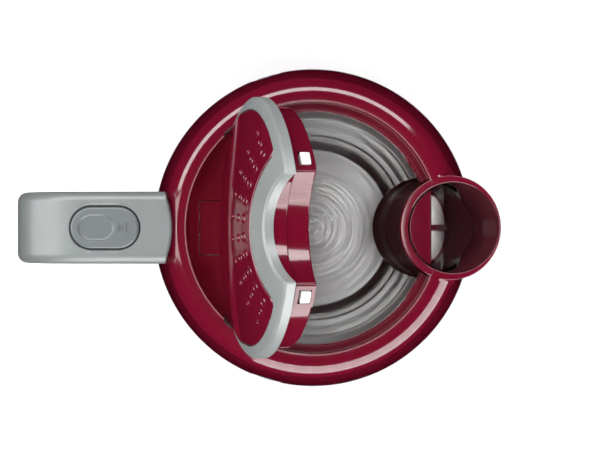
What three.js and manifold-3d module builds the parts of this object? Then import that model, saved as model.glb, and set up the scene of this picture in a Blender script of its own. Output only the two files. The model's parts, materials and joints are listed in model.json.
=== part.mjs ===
// Cordless electric jug kettle, standing on its power base with the lid open.
// Millimetres, +Z up. The origin is on the jug's axis, at the underside of the power base.
// +X points to the spout and -X to the handle.
import * as THREE from 'three';
import { mergeVertices } from 'three/addons/utils/BufferGeometryUtils.js';
import Module from 'manifold-3d';

const wasm = await Module();
wasm.setup();

// Driving dimensions.
const GAP = 0.35;                     // between fixed pieces that meet
const ROUND = 32;                     // facets of a large turned piece
const LID_ROUND = 40;                 // and of the lid's edges
const SMALL_ROUND = 20;               // and of a small turned piece
const BASE_R = 75;                    // power base
const BASE_TOP_Z = 20;                // plateau that the jug stands on
const DRUM_R = 36;                    // cord-winding drum under the base
const JUG_Z = 20.5;                   // lower edge of the jug
const WALL = 2.6;                     // jug wall
const RIM_Z = 218;                    // top of the jug
const RIM_FILLET = { r: 57.3, z: 209, radius: 9 };
const RECESS_R = 54.7;                // opening that the lid drops into
const LEDGE_Z = 212.9;                // ledge below the lid's rim
const LEDGE_R = 51.2;
const PLATE_Z = 46;                   // top of the heating plate
const PLATE_R = 66.4;
const HINGE = { x: -33, z: 215.8 };   // lid hinge axis, along Y
const LID_OPEN = THREE.MathUtils.degToRad(72.7);
const LID_R = 54.3;
const LID_DOME = 10;                  // how far the lid's middle stands above its edge
const PANEL_R = 49;
const PANEL_REAR = { x: -8, r: 48.6 };  // circle that widens the panel to the lid's rear edge
const PANEL_NOTCH = { x: 61.6, r: 36.4 };
const RING_NOTCH = { x: 62.3, r: 25.4 };
const RING_T = 4.2;
const SKIRT_R = 50.3;
const SKIRT_Z = 203.9;
const SKIRT_NOTCH = { x: 63.2, r: 27.7 };
const WINDOW = { angle: THREE.MathUtils.degToRad(35.7), z: 208.2, w: 6.8, h: 5.2 };
const TROUGH_R = 22.2;                // hinge well, swept by the rear of the lid
const WELL_HALF_Y = 44;
const SPOUT = { x: 61.3, r: 19.8 };   // mouth of the spout
const HANDLE_HALF_Y = 15.7;
const BUTTON = { x: -90, half: 5.85, r: 9.1 };

// Materials.
function material(color, roughness, metalness = 0, opacity = 1) {
  return new THREE.MeshStandardMaterial({ color, roughness, metalness, opacity, transparent: opacity < 1 });
}

const RED = material(0x7a1024, 0.12);
const GREY = material(0x969d9e, 0.4);
const DARK_GREY = material(0x82898b, 0.4);
const BLACK = material(0x1c1c1e, 0.45);
const WHITE = material(0xf2f2ee, 0.35);
const CLEAR = material(0xb8c4c8, 0.08, 0, 0.4);
const STEEL = material(0xb9b9b6, 0.28, 1);
const ALUMINIUM = material(0xa9abad, 0.5, 1);
const BRASS = material(0xb58b45, 0.3, 1);
const RUBBER = material(0x2a2a2b, 0.85);
const SILICONE = material(0xd9d6cf, 0.6);
const MESH_GREY = material(0xaaa3a3, 0.6);

// Solids.
function solid(geometry) {
  const bare = geometry.index ? geometry.toNonIndexed() : geometry.clone();
  bare.deleteAttribute('normal');
  bare.deleteAttribute('uv');
  const merged = mergeVertices(bare, 1e-4);
  const index = merged.index.array;
  const kept = [];
  for (let i = 0; i < index.length; i += 3) {
    const [a, b, c] = [index[i], index[i + 1], index[i + 2]];
    if (a !== b && b !== c && c !== a) kept.push(a, b, c);
  }
  let body = fromTriangles(merged.attributes.position.array, kept);
  if (body.volume() < 0) {
    body = fromTriangles(merged.attributes.position.array, kept.reverse());
  }
  return body;
}

function fromTriangles(positions, triangles) {
  return new wasm.Manifold(new wasm.Mesh({
    numProp: 3,
    vertProperties: new Float32Array(positions),
    triVerts: new Uint32Array(triangles),
  }));
}

function toGeometry(body) {
  const mesh = body.getMesh();
  const geometry = new THREE.BufferGeometry();
  geometry.setAttribute('position', new THREE.BufferAttribute(new Float32Array(mesh.vertProperties), 3));
  geometry.setIndex(new THREE.BufferAttribute(new Uint32Array(mesh.triVerts), 1));
  return geometry;
}

function union(...bodies) {
  return bodies.reduce((sum, body) => sum.add(body));
}

function cut(body, ...tools) {
  return tools.reduce((rest, tool) => rest.subtract(tool), body);
}

// Turned about the Z axis from [r, z] pairs, which start and end on the axis or close on themselves.
function turned(profile, segments = ROUND) {
  const points = profile.map(([r, z]) => new THREE.Vector2(r, z));
  return solid(new THREE.LatheGeometry(points, segments).rotateX(Math.PI / 2));
}

function disc(r, z0, z1, x = 0, y = 0, segments = ROUND) {
  const geometry = new THREE.CylinderGeometry(r, r, z1 - z0, segments);
  return solid(geometry.rotateX(Math.PI / 2).translate(x, y, (z0 + z1) / 2));
}

function ring(inner, outer, z0, z1, segments = ROUND) {
  return turned([[inner, z0], [outer, z0], [outer, z1], [inner, z1], [inner, z0]], segments);
}

function box(x0, x1, y0, y1, z0, z1) {
  const geometry = new THREE.BoxGeometry(x1 - x0, y1 - y0, z1 - z0);
  return solid(geometry.translate((x0 + x1) / 2, (y0 + y1) / 2, (z0 + z1) / 2));
}

// A round bar along Y.
function barY(r, x, z, y0, y1, segments = 12) {
  const geometry = new THREE.CylinderGeometry(r, r, y1 - y0, segments);
  return solid(geometry.translate(x, (y0 + y1) / 2, z));
}

// A plan shape pulled up from z0 to z1.
function upright(shape, z0, z1, curveSegments = 10) {
  const geometry = new THREE.ExtrudeGeometry(shape, { depth: z1 - z0, bevelEnabled: false, curveSegments });
  return solid(geometry.translate(0, 0, z0));
}

// A side-view outline of (x, z) points, with thickness along Y and rounded edges.
function sideways(points, halfY, bevel = 0, bevelSegments = 2) {
  const options = { depth: 2 * (halfY - bevel), bevelEnabled: bevel > 0, bevelSegments };
  Object.assign(options, { bevelSize: bevel, bevelThickness: bevel, bevelOffset: -bevel });
  const geometry = new THREE.ExtrudeGeometry(new THREE.Shape(points), options);
  return solid(geometry.translate(0, 0, bevel - halfY).rotateX(Math.PI / 2));
}

// A tube-like solid through stations { z, x, rx, ry }: a cylinder whose rings are moved and scaled.
function lofted(stations, segments = 32) {
  const geometry = new THREE.CylinderGeometry(1, 1, 1, segments, stations.length - 1);
  geometry.rotateX(Math.PI / 2);
  const position = geometry.attributes.position;
  for (let i = 0; i < position.count; i += 1) {
    const level = Math.round((position.getZ(i) + 0.5) * (stations.length - 1));
    const { z, x, rx, ry } = stations[level];
    position.setXYZ(i, x + rx * position.getX(i), ry * position.getY(i), z);
  }
  return solid(geometry);
}

function grown(stations, by) {
  return stations.map(({ z, x, rx, ry }) => ({ z, x, rx: rx + by, ry: ry + by }));
}

function around(body, count, startDeg = 0) {
  return Array.from({ length: count }, (_, i) => body.rotate([0, 0, startDeg + (360 * i) / count]));
}

// The scene graph.
const kettle = new THREE.Group();

function part(name, body, look, parent = kettle) {
  const mesh = new THREE.Mesh(toGeometry(body), look);
  mesh.name = name;
  parent.add(mesh);
  return mesh;
}

// Power base ---------------------------------------------------------------------------------

const FOOT_R = 61;
const BASE_SCREW_R = 50;
const GLAND_Z = 6.4;
const COVER_Z = 11;                   // underside of the base's cover plate

function baseHousing() {
  const outer = turned([
    [0, 1], [BASE_R - 0.8, 1], [BASE_R, 2.5], [BASE_R, 10.5], [BASE_R - 1.6, 14.2], [BASE_R - 5, 16],
    [68.4, 16.6], [66.6, BASE_TOP_Z], [0, BASE_TOP_Z],
  ]);
  const inner = turned([
    [0, 0], [BASE_R - 2.4, 0], [BASE_R - 2.4, 10.6], [BASE_R - 5.5, 13.8], [65.4, 14.4], [64.6, 17.6],
    [0, 17.6],
  ]);
  const post = disc(3.4, COVER_Z + 2.4, 18, BASE_SCREW_R, 0, 14);
  const hole = disc(1.7, 12, 17, BASE_SCREW_R, 0, 10);
  const cordNotch = box(-BASE_R - 1, -BASE_R + 4, -4.2, 4.2, 0, 9);
  const shell = cut(outer, inner, disc(16, 12, 22, 0, 0, SMALL_ROUND), cordNotch);
  return cut(union(shell, ...around(post, 3)), ...around(hole, 3));
}

function baseBottomCover() {
  const plate = disc(69.6, COVER_Z, COVER_Z + 2);
  const drum = disc(DRUM_R, 0, COVER_Z + 1);
  const drumRoom = disc(DRUM_R - 2.2, 2, COVER_Z + 3);
  const post = disc(7, 1.5, COVER_Z + 1, FOOT_R, 0, 16);
  const screwHole = disc(1.8, COVER_Z - 1, COVER_Z + 3, BASE_SCREW_R, 0, 10);
  const glandHole = solid(new THREE.CylinderGeometry(3, 3, 6, 14).rotateZ(Math.PI / 2)
    .translate(-DRUM_R + 1, 0, GLAND_Z));
  const cover = cut(union(plate, drum, ...around(post, 4, 45)), drumRoom);
  return cut(cover, ...around(screwHole, 3), glandHole);
}

function baseScrew() {
  return union(disc(3, 9.2, COVER_Z - GAP, BASE_SCREW_R, 0, 14), disc(1.35, 10, 16.4, BASE_SCREW_R, 0, 10));
}

function cordGland() {
  const flanges = turned([
    [1.7, -3], [3.9, -3], [3.9, -1.7], [2.5, -1.7], [2.5, 1.7], [3.9, 1.7], [3.9, 3], [1.7, 3], [1.7, -3],
  ], 14);
  return flanges.rotate([0, 90, 0]).translate([-DRUM_R + 1.1, 0, GLAND_Z]);
}

function baseConnector() {
  return turned([
    [0, 3], [13, 3], [13, 12], [18, 12], [18, 17.2], [13.6, 17.2], [13.6, 31.2], [12.8, 32], [9.4, 32],
    [9.4, 21], [6.6, 21], [6.6, 30], [3.4, 30], [3.4, 19], [0, 19],
  ], SMALL_ROUND);
}

const powerBase = new THREE.Group();
kettle.add(powerBase);
part('base_housing', baseHousing(), BLACK, powerBase);
part('base_bottom_cover', baseBottomCover(), BLACK, powerBase);
part('base_connector', baseConnector(), BLACK, powerBase);
part('base_contact_pin', disc(1.6, 19.4, 29.5, 0, 0, 14), BRASS, powerBase);
part('base_contact_ring', ring(7.1, 8.9, 21.4, 29, SMALL_ROUND), BRASS, powerBase);
part('cord_gland', cordGland(), RUBBER, powerBase);
around(disc(5.6, 0, 1.15, FOOT_R, 0, 16), 4, 45).forEach((foot, i) => {
  part(`base_foot_${i + 1}`, foot, RUBBER, powerBase);
});
around(baseScrew(), 3).forEach((screw, i) => part(`base_screw_${i + 1}`, screw, STEEL, powerBase));

// Jug body -----------------------------------------------------------------------------------

const WALL_CURVE = new THREE.SplineCurve([
  new THREE.Vector2(73.2, JUG_Z), new THREE.Vector2(75.7, 52), new THREE.Vector2(77.2, 104),
  new THREE.Vector2(75.5, 150), new THREE.Vector2(70.6, 189), new THREE.Vector2(66.15, 210.6),
]);
const SPOUT_OUTSIDE = [
  { z: 158, x: 60, rx: 13.4, ry: 8 }, { z: 175, x: 58, rx: 17, ry: 15 }, { z: 190, x: 58, rx: 19.2, ry: 19.6 },
  { z: 205, x: 59, rx: 21, ry: 22 }, { z: 218.4, x: 60, rx: 22, ry: 22.8 },
];
const SPOUT_INSIDE = [
  { z: 172, x: 58, rx: 13.4, ry: 12.5 }, { z: 184, x: 58.5, rx: 15.9, ry: 16.2 },
  { z: 198, x: 60, rx: 16.9, ry: 18.8 }, { z: 208, x: 60.8, rx: 18.3, ry: 19.3 },
  { z: 220, x: SPOUT.x, rx: SPOUT.r, ry: SPOUT.r },
];
const SPOUT_TUBE_Z = 206;
const COVER_SCREW_R = 66.4;
const SIDE_WINDOW = { angle: 107, halfW: 7, z0: 70, z1: 176 };

// The solid inside the jug's outer surface, grown by a margin.
function jugEnvelope(margin = 0, steps = 7) {
  const wall = WALL_CURVE.getPoints(steps).map(({ x, y }) => [x + margin, y]);
  const radius = RIM_FILLET.radius + margin;
  const fillet = [0.55, 1.05, Math.PI / 2].map((a) => (
    [RIM_FILLET.r + radius * Math.cos(a), RIM_FILLET.z + radius * Math.sin(a)]
  ));
  return turned([[0, JUG_Z], ...wall, ...fillet, [0, RIM_Z + margin]]);
}

function wallRadius(z) {
  const points = WALL_CURVE.getPoints(60);
  const above = points.findIndex((p) => p.y >= z);
  return points[above].x;
}

function jugHollow() {
  const wall = WALL_CURVE.getPoints(6).slice(1, -1).map(({ x, y }) => [x - WALL, y]);
  return turned([
    [0, JUG_Z - 1], [wallRadius(JUG_Z) - WALL, JUG_Z - 1], ...wall, [63.3, 209.5], [61, 213.2],
    [RECESS_R, 213.2], [RECESS_R, RIM_Z + 0.01], [0, RIM_Z + 0.01],
  ]);
}

// A tool that cuts a window of half width `half` through the wall at an angle from +X.
function wallSlot(angleDeg, half, z0, z1, r0, r1) {
  return box(r0, r1, -half, half, z0, z1).rotate([0, 0, angleDeg]);
}

function sealShelf() {
  return ring(64, 74.6, 50.6, 52.8);
}

function coverBoss() {
  const post = disc(3.3, 26.4, 41, COVER_SCREW_R, 0, 14);
  return union(post, box(COVER_SCREW_R, 72.6, -1.5, 1.5, 26.4, 41));
}

function jugBody() {
  const shell = cut(union(jugEnvelope(), lofted(SPOUT_OUTSIDE)), jugHollow());
  const spoutTube = lofted([
    { z: SPOUT_TUBE_Z, x: 60, rx: 22, ry: 22.8 }, { z: RIM_Z + 0.4, x: 60, rx: 22, ry: 22.8 },
  ]).intersect(disc(RECESS_R + 1, 200, 230));
  const pins = union(barY(1.85, HINGE.x, HINGE.z, -48, -40), barY(1.85, HINGE.x, HINGE.z, 40, 48));
  const sideWindows = [1, -1].map((side) => (
    wallSlot(side * SIDE_WINDOW.angle, SIDE_WINDOW.halfW, SIDE_WINDOW.z0, SIDE_WINDOW.z1, 60, 85)
  ));
  const sliderSlot = box(-72, -58, -4, 4, 203, 210);
  const steamPort = union(box(-80, -60, 5.6, 10.6, 203.5, 208.9), box(-80, -60, -3, 3, 33, 39));
  const hingeRelief = cut(disc(56.4, 213, 220), box(-80, 80, -38, 38, 200, 230))
    .intersect(box(-38.5, -27.5, -60, 60, 200, 230));
  const bosses = around(coverBoss(), 3, 60);
  const bossHoles = around(disc(1.7, 25, 38, COVER_SCREW_R, 0, 10), 3, 60);
  const whole = union(shell, spoutTube, sealShelf(), ...bosses);
  return cut(whole, lofted(SPOUT_INSIDE), pins, hingeRelief, ...sideWindows, sliderSlot, steamPort, ...bossHoles);
}

// A strip of the wall, a little smaller than its slot.
function waterWindow(side) {
  const { angle, halfW, z0, z1 } = SIDE_WINDOW;
  const strip = cut(jugEnvelope(-0.3), jugEnvelope(-2.3));
  return strip.intersect(wallSlot(side * angle, halfW - GAP, z0 + GAP, z1 - GAP, 60, 85));
}

// Collar: the ledge under the lid, with the hinge well at its rear.
function wellRoom(extra) {
  const barrel = barY(TROUGH_R + extra, HINGE.x, HINGE.z, -WELL_HALF_Y - extra, WELL_HALF_Y + extra, 40);
  return barrel.intersect(disc(RECESS_R + extra, 180, LEDGE_Z + 20));
}

function rimCollar() {
  const ledge = ring(LEDGE_R, 60, LEDGE_Z - 2, LEDGE_Z);
  const skirt = ring(LEDGE_R, LEDGE_R + 2, 203.5, LEDGE_Z);
  const behindHinge = box(-62, HINGE.x - 1.5, -50, 50, 180, LEDGE_Z);
  const wellShell = wellRoom(2).intersect(behindHinge);
  const wellCut = wellRoom(0).intersect(box(-62, HINGE.x + 2.2, -50, 50, 180, 230));
  const spoutCut = lofted([
    { z: 200, x: 59.2, rx: 23, ry: 23.6 }, { z: RIM_Z, x: 60, rx: 22.4, ry: 23.2 },
  ]);
  const coverCut = box(-50.4, -30, -12.4, 12.4, 180, 208);
  const catches = [1, -1].map((side) => (
    box(LEDGE_R - 1, LEDGE_R + 1.2, -3.9, 3.9, 205.2, LEDGE_Z - 2).rotate([0, 0, side * 35.7])
  ));
  return cut(union(ledge, skirt, wellShell), wellCut, spoutCut, coverCut, ...catches);
}

// The middle of the hinge well is a cover of its own.
function hingeCover() {
  const shell = cut(wellRoom(2), wellRoom(0));
  return shell.intersect(box(-50, HINGE.x - 1.5, -12, 12, 180, 207.6));
}

function spoutGuard() {
  const outside = [
    { z: 172, x: 52.4, rx: 24.7, ry: 23.5 }, { z: 190, x: 56.6, rx: 23.6, ry: 23 },
    { z: SPOUT_TUBE_Z - 0.4, x: 60, rx: 22, ry: 22.8 },
  ];
  const shell = cut(lofted(outside), lofted(grown(outside, -1.6)).scale([1, 1, 1.02]).translate([0, 0, -3.5]));
  const inJug = turned([[0, 170], [69.4, 170], [66, 190], [63.4, 199], [61.5, 207], [0, 207]]);
  return shell.intersect(inJug);
}

const jug = new THREE.Group();
kettle.add(jug);
part('jug_body', jugBody(), RED, jug);
part('water_window_left', waterWindow(1), CLEAR, jug);
part('water_window_right', waterWindow(-1), CLEAR, jug);
part('rim_collar', rimCollar(), RED, jug);
part('hinge_cover', hingeCover(), RED, jug);
part('spout_guard', spoutGuard(), RED, jug);

// Heater and underside ---------------------------------------------------------------------

function heatingPlate() {
  const top = [
    [0, PLATE_Z], [42.4, PLATE_Z], [50, PLATE_Z - 4.8], [54, PLATE_Z - 4.8], [58.4, PLATE_Z + 2],
    [PLATE_R, PLATE_Z + 2],
  ];
  const under = top.map(([r, z]) => [r, z - 1]).reverse();
  return turned([...top, ...under]);
}

function heatingElement() {
  const arc = new THREE.Shape();
  const from = THREE.MathUtils.degToRad(28);
  const to = THREE.MathUtils.degToRad(332);
  arc.absarc(0, 0, 38, from, to, false);
  arc.absarc(0, 0, 30.5, to, from, true);
  const coldPins = [28 + 6, 332 - 6].map((deg) => (
    disc(1.4, 33, 39, 34.2, 0, 8).rotate([0, 0, deg])
  ));
  return union(upright(arc, 38, PLATE_Z - 1.3, 14), ...coldPins);
}

function thermostatControl() {
  const block = union(disc(25, 34, 43.5, 0, 0, 28), box(-28.6, -20, -9, 9, 36, 42));
  return cut(block, disc(17.6, 33, 40, 0, 0, SMALL_ROUND));
}

function connectorSocket() {
  return turned([
    [4, 33], [6, 33], [6, 37.4], [9.8, 37.4], [9.8, 33.5], [11.6, 33.5], [11.6, 37.4], [14.6, 37.4],
    [14.6, 22.8], [17.2, 22.8], [17.2, 39.4], [4, 39.4], [4, 33],
  ], SMALL_ROUND);
}

function jugBottomCover() {
  const plate = disc(70.1, 22.6, 25);
  const screwHoles = around(union(
    disc(1.7, 22, 26, COVER_SCREW_R, 0, 10), disc(3.4, 22, 23.9, COVER_SCREW_R, 0, 14),
  ), 3, 60);
  const pads = around(box(50, 58, -5, 5, BASE_TOP_Z + 0.3, 23), 3);
  return cut(union(plate, ...pads), disc(17.6, 20, 27, 0, 0, SMALL_ROUND), ...screwHoles);
}

function coverScrew() {
  return union(disc(3, 22.1, 23.55, COVER_SCREW_R, 0, 14), disc(1.35, 23, 36, COVER_SCREW_R, 0, 10));
}

part('heating_plate', heatingPlate(), STEEL, jug);
part('plate_seal', ring(64.6, 68.6, PLATE_Z + 2.35, 50.25), SILICONE, jug);
part('heating_element', heatingElement(), ALUMINIUM, jug);
part('thermostat_control', thermostatControl(), BLACK, jug);
part('connector_socket', connectorSocket(), WHITE, jug);
part('jug_bottom_cover', jugBottomCover(), BLACK, jug);
around(coverScrew(), 3, 60).forEach((screw, i) => part(`cover_screw_${i + 1}`, screw, STEEL, jug));

// Handle -------------------------------------------------------------------------------------

const HANDLE_OUTSIDE = new THREE.SplineCurve([
  [-54, 220.3], [-75, 221.4], [-95, 222], [-112, 220.2], [-124.5, 213.5], [-131.2, 201], [-133.8, 180],
  [-133, 150], [-130, 118], [-124.5, 88], [-115, 63], [-102, 46], [-86, 36], [-66, 31],
].map(([x, z]) => new THREE.Vector2(x, z)));
const HANDLE_INSIDE = new THREE.SplineCurve([
  [-54, 200.5], [-75, 200.8], [-90, 200.6], [-99, 198.5], [-105.8, 192.5], [-109.8, 183], [-111.6, 170],
  [-111.4, 148], [-109, 120], [-104.5, 95], [-97.5, 77], [-88.5, 66.5], [-78, 62], [-62, 60],
].map(([x, z]) => new THREE.Vector2(x, z)));
const HANDLE_STEPS = 22;

// The line at a share of the way from the handle's outer outline (0) to its grip side (1).
function handleLine(share) {
  const inside = HANDLE_INSIDE.getPoints(HANDLE_STEPS);
  return HANDLE_OUTSIDE.getPoints(HANDLE_STEPS).map((p, i) => p.lerp(inside[i], share));
}

function handleBand(from, to, halfY, bevel = 0) {
  return sideways([...handleLine(from), ...handleLine(to).reverse()], halfY, bevel);
}

// Plan outline that gives the handle its rounded front edge on the shoulder of the jug.
function handlePlan() {
  const r = 37.9;
  const front = -61;
  const shape = new THREE.Shape();
  shape.moveTo(-140, -30);
  shape.lineTo(front - r, -r);
  shape.absarc(front - r, 0, r, -Math.PI / 2, Math.PI / 2, false);
  shape.lineTo(-140, 30);
  return upright(shape, 0, 240, 24);
}

function stadium(x, half, r) {
  const shape = new THREE.Shape();
  shape.absarc(x + half, 0, r, -Math.PI / 2, Math.PI / 2, false);
  shape.absarc(x - half, 0, r, Math.PI / 2, 1.5 * Math.PI, false);
  return shape;
}

function handleOuter() {
  const band = handleBand(0, 1, HANDLE_HALF_Y, 3.4).intersect(handleBand(-0.2, 0.68, 30));
  const room = handleBand(0.13, 1.4, HANDLE_HALF_Y - 2.4);
  const buttonHole = upright(stadium(BUTTON.x, BUTTON.half, BUTTON.r + 0.4), 210, 230);
  const lensHole = disc(2.6, 0, 60, -93, 0, 16);
  const leverHole = sideways([
    [-97.9, 54.4], [-104.8, 64.8], [-124.8, 51.5], [-117.9, 41.1],
  ].map(([x, z]) => new THREE.Vector2(x, z)), 7.2);
  return cut(band.intersect(handlePlan()), room, jugEnvelope(GAP), buttonHole, lensHole, leverHole);
}

function handleInner() {
  const band = handleBand(0, 1, HANDLE_HALF_Y, 3.4).intersect(handleBand(0.7, 1.3, 30));
  const room = handleBand(-0.3, 0.88, HANDLE_HALF_Y - 2.4);
  return cut(band.intersect(handlePlan()), room, jugEnvelope(GAP));
}

function lidButton() {
  const { x, half, r } = BUTTON;
  const cap = cut(upright(stadium(x, half, r), 213, 222.1), upright(stadium(x, half, r - 1.6), 212, 219.9));
  const fingerDip = upright(stadium(-93.6, 2.2, 5.7), 221.3, 223);
  const post = sideways([
    new THREE.Vector2(-93, 206), new THREE.Vector2(-87, 212), new THREE.Vector2(-87, 220.5),
    new THREE.Vector2(-93, 220.5),
  ], 3);
  return union(cut(cap, fingerDip), post);
}

// Wedge that the button's post pushes toward the lid.
function releaseSlider() {
  const outline = [
    [-94, 203.8], [-60.5, 203.8], [-60.5, 208.4], [-90.18, 208.4], [-94, 204.58],
  ].map(([x, z]) => new THREE.Vector2(x, z));
  return sideways(outline, 3.2);
}

function steamTube() {
  const route = new THREE.CatmullRomCurve3([
    [-67.5, 8.1, 206.3], [-80, 8.1, 206.3], [-104, 8.1, 206], [-116, 8.1, 199], [-121, 8.1, 180],
    [-120.5, 8.1, 140], [-116, 8.1, 98], [-112, 8.1, 85],
  ].map(([x, y, z]) => new THREE.Vector3(x, y, z)));
  const circle = (r) => new THREE.Shape().absarc(0, 0, r, 0, 2 * Math.PI, false);
  const options = { steps: 16, extrudePath: route, bevelEnabled: false, curveSegments: 4 };
  return solid(new THREE.ExtrudeGeometry(circle(2), options));
}

const SWITCH_PIVOT = { x: -103, z: 58.5 };

function switchLever() {
  const rocker = sideways([
    [-104, 61.6], [-107, 60.4], [-117.4, 53.6], [-119.8, 49.6], [-116.2, 47], [-105, 54.4], [-101.4, 56.6],
  ].map(([x, z]) => new THREE.Vector2(x, z)), 6.8, 0.8, 1);
  const { x, z } = SWITCH_PIVOT;
  return union(rocker, barY(3.4, x, z, -6.8, 6.8, 14), barY(1.8, x, z, -9, 9, 10));
}

function steamSwitch() {
  return union(box(-114, -103.6, -10, 10.8, 70, 83), box(-109, -104.6, -6, 6, 64, 71));
}

const handle = new THREE.Group();
jug.add(handle);
part('handle_outer', handleOuter(), GREY, handle);
part('handle_inner', handleInner(), DARK_GREY, handle);
part('lid_button', lidButton(), DARK_GREY, handle);
part('release_slider', releaseSlider(), WHITE, handle);
part('steam_tube', steamTube(), SILICONE, handle);
part('steam_switch', steamSwitch(), BLACK, handle);
part('switch_lever', switchLever(), RED, handle);
part('indicator_lens', disc(2.25, 36.6, 42, -93, 0, 16), CLEAR, handle);

// Spout filter -------------------------------------------------------------------------------

const FILTER_TOP = { x: 51.6, z: 213.6 };
const FILTER_TIP = { x: 60.4, z: 183 };
const FILTER_HALF_W = 15.6;

// The half-round outline of the filter, in its own plane: x across, y down the slope.
function filterOutline(inset) {
  const length = Math.hypot(FILTER_TIP.x - FILTER_TOP.x, FILTER_TOP.z - FILTER_TIP.z);
  const shape = new THREE.Shape();
  shape.moveTo(-FILTER_HALF_W + inset, inset);
  shape.absellipse(0, inset, FILTER_HALF_W - inset, length - 2 * inset, Math.PI, 0, true, 0);
  shape.lineTo(-FILTER_HALF_W + inset, inset);
  return shape;
}

// Turns a piece drawn in the filter's plane onto the slope.
function onFilterSlope(body) {
  const tilt = THREE.MathUtils.radToDeg(
    Math.atan2(FILTER_TIP.x - FILTER_TOP.x, FILTER_TOP.z - FILTER_TIP.z),
  );
  return body.rotate([-90, 0, 90]).rotate([0, -tilt, 0]).translate([FILTER_TOP.x, 0, FILTER_TOP.z]);
}

function filterFrame() {
  const rim = cut(upright(filterOutline(0), -1, 1), upright(filterOutline(2), -2, 2));
  const rib = upright(filterOutline(0.5), -1, 1).intersect(box(-1.3, 1.3, -1, 40, -2, 2));
  const tab = disc(SPOUT.r - 1.2, 214.8, 216.8, SPOUT.x, 0).intersect(box(30, 52.6, -30, 30, 200, 230));
  const neck = box(50.6, 52.6, -15, 15, 212.4, 215.5);
  return union(onFilterSlope(union(rim, rib)), tab, neck);
}

function filterMesh(side) {
  const half = side > 0 ? box(1.6, 30, -1, 40, -1, 1) : box(-30, -1.6, -1, 40, -1, 1);
  return onFilterSlope(upright(filterOutline(2.3), -0.3, 0.3).intersect(half));
}

const filter = new THREE.Group();
jug.add(filter);
part('filter_frame', filterFrame(), RED, filter);
part('filter_mesh_left', filterMesh(1), MESH_GREY, filter);
part('filter_mesh_right', filterMesh(-1), MESH_GREY, filter);

// Lid ----------------------------------------------------------------------------------------
// Drawn closed, then turned open about the hinge.

// Everything under the lid's domed top, lowered by `drop`, with its outer edge eased.
function underDome(drop, edge = 0) {
  const steps = 4;
  const rim = LID_R + (edge ? 0 : 4);
  const top = Array.from({ length: steps + 1 }, (_, i) => {
    const r = (rim - edge) * (1 - i / steps);
    return [r, RIM_Z + LID_DOME * (1 - (r / LID_R) ** 2) - drop];
  });
  return turned([[0, 190], [rim, 190], ...(edge ? [[rim, RIM_Z - edge]] : []), ...top], LID_ROUND);
}

// A round plan with a bite taken out toward the spout.
function bitten(r, notch, z0, z1) {
  return disc(r, z0, z1, 0, 0, LID_ROUND).subtract(disc(notch.r, z0 - 1, z1 + 1, notch.x, 0, LID_ROUND));
}

function panelPlan(inset, z0, z1) {
  const rear = disc(PANEL_REAR.r - inset, z0, z1, PANEL_REAR.x, 0, LID_ROUND);
  const whole = disc(LID_R - inset, z0, z1, 0, 0, LID_ROUND);
  const round = union(disc(PANEL_R - inset, z0, z1, 0, 0, LID_ROUND), rear.intersect(whole));
  return round.subtract(disc(PANEL_NOTCH.r + inset, z0 - 1, z1 + 1, PANEL_NOTCH.x, 0, LID_ROUND));
}

function hingeHoles() {
  return barY(1.85, HINGE.x, HINGE.z, -60, 60, 14);
}

function lidTrimRing() {
  const slab = cut(underDome(0, 1.3), underDome(RING_T));
  const band = bitten(LID_R, RING_NOTCH, 200, 240).subtract(panelPlan(-0.3, 190, 250));
  const crescent = slab.intersect(band).subtract(hingeHoles());
  return cut(crescent, box(-70, -37, -60, 60, 190, 240));
}

function lidPanel() {
  const slab = cut(underDome(0, 1.3), underDome(RING_T));
  const plate = slab.intersect(panelPlan(0, 200, 240));
  return cut(plate, underDome(2.2).intersect(panelPlan(2.4, 190, 240)), hingeHoles());
}

function lidInner() {
  const skirt = bitten(SKIRT_R, SKIRT_NOTCH, SKIRT_Z, 213.4);
  const wall = bitten(52.3, { x: RING_NOTCH.x, r: RING_NOTCH.r + 0.8 }, 213.3, 230);
  const room = bitten(SKIRT_R - 2, { x: SKIRT_NOTCH.x, r: SKIRT_NOTCH.r + 2 }, SKIRT_Z + 1.8, 240);
  const bosses = [1, -1].map((side) => (
    barY(3.2, HINGE.x, HINGE.z, Math.min(side * 33, side * 39), Math.max(side * 33, side * 39))
  ));
  const { angle, z, w, h } = WINDOW;
  const windows = [1, -1].map((side) => (
    box(SKIRT_R - 4, SKIRT_R + 4, -w / 2, w / 2, z - h / 2, z + h / 2)
      .rotate([0, 0, side * THREE.MathUtils.radToDeg(angle)])
  ));
  const shell = union(cut(union(skirt, wall), room), ...bosses).intersect(underDome(RING_T + 0.35));
  return cut(shell, hingeHoles(), ...windows);
}

// Spring-loaded plate on the floor of the lid, with a tongue in each window.
function latchPlate() {
  const { angle, z, w, h } = WINDOW;
  const tongue = box(38, LEDGE_R + 0.7, -w / 2 + 0.4, w / 2 - 0.9, z - h / 2 + 0.4, z + h / 2 - 0.7)
    .rotate([0, 0, THREE.MathUtils.radToDeg(angle)]);
  const tongues = [tongue, tongue.mirror([0, 1, 0])];
  const arms = [1, -1].map((side) => (
    box(-6, 36, -3, 3, 206.2, 208.4).rotate([0, 0, side * 38]).translate([3, 0, 0])
  ));
  const tail = box(-30, 2, -5, 5, 206.2, 208.4);
  return union(tail, ...arms, ...tongues);
}

function springCoil(y0, y1) {
  const turns = 3;
  const points = Array.from({ length: turns * 8 + 1 }, (_, i) => {
    const a = (2 * Math.PI * i) / 8;
    const y = y0 + ((y1 - y0) * i) / (turns * 8);
    return new THREE.Vector3(HINGE.x + 2.25 * Math.cos(a), y, HINGE.z + 2.25 * Math.sin(a));
  });
  const wire = new THREE.Shape().absarc(0, 0, 0.4, 0, 2 * Math.PI, false);
  const path = new THREE.CatmullRomCurve3(points);
  const options = { steps: turns * 8, extrudePath: path, bevelEnabled: false, curveSegments: 3 };
  return solid(new THREE.ExtrudeGeometry(wire, options));
}

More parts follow.
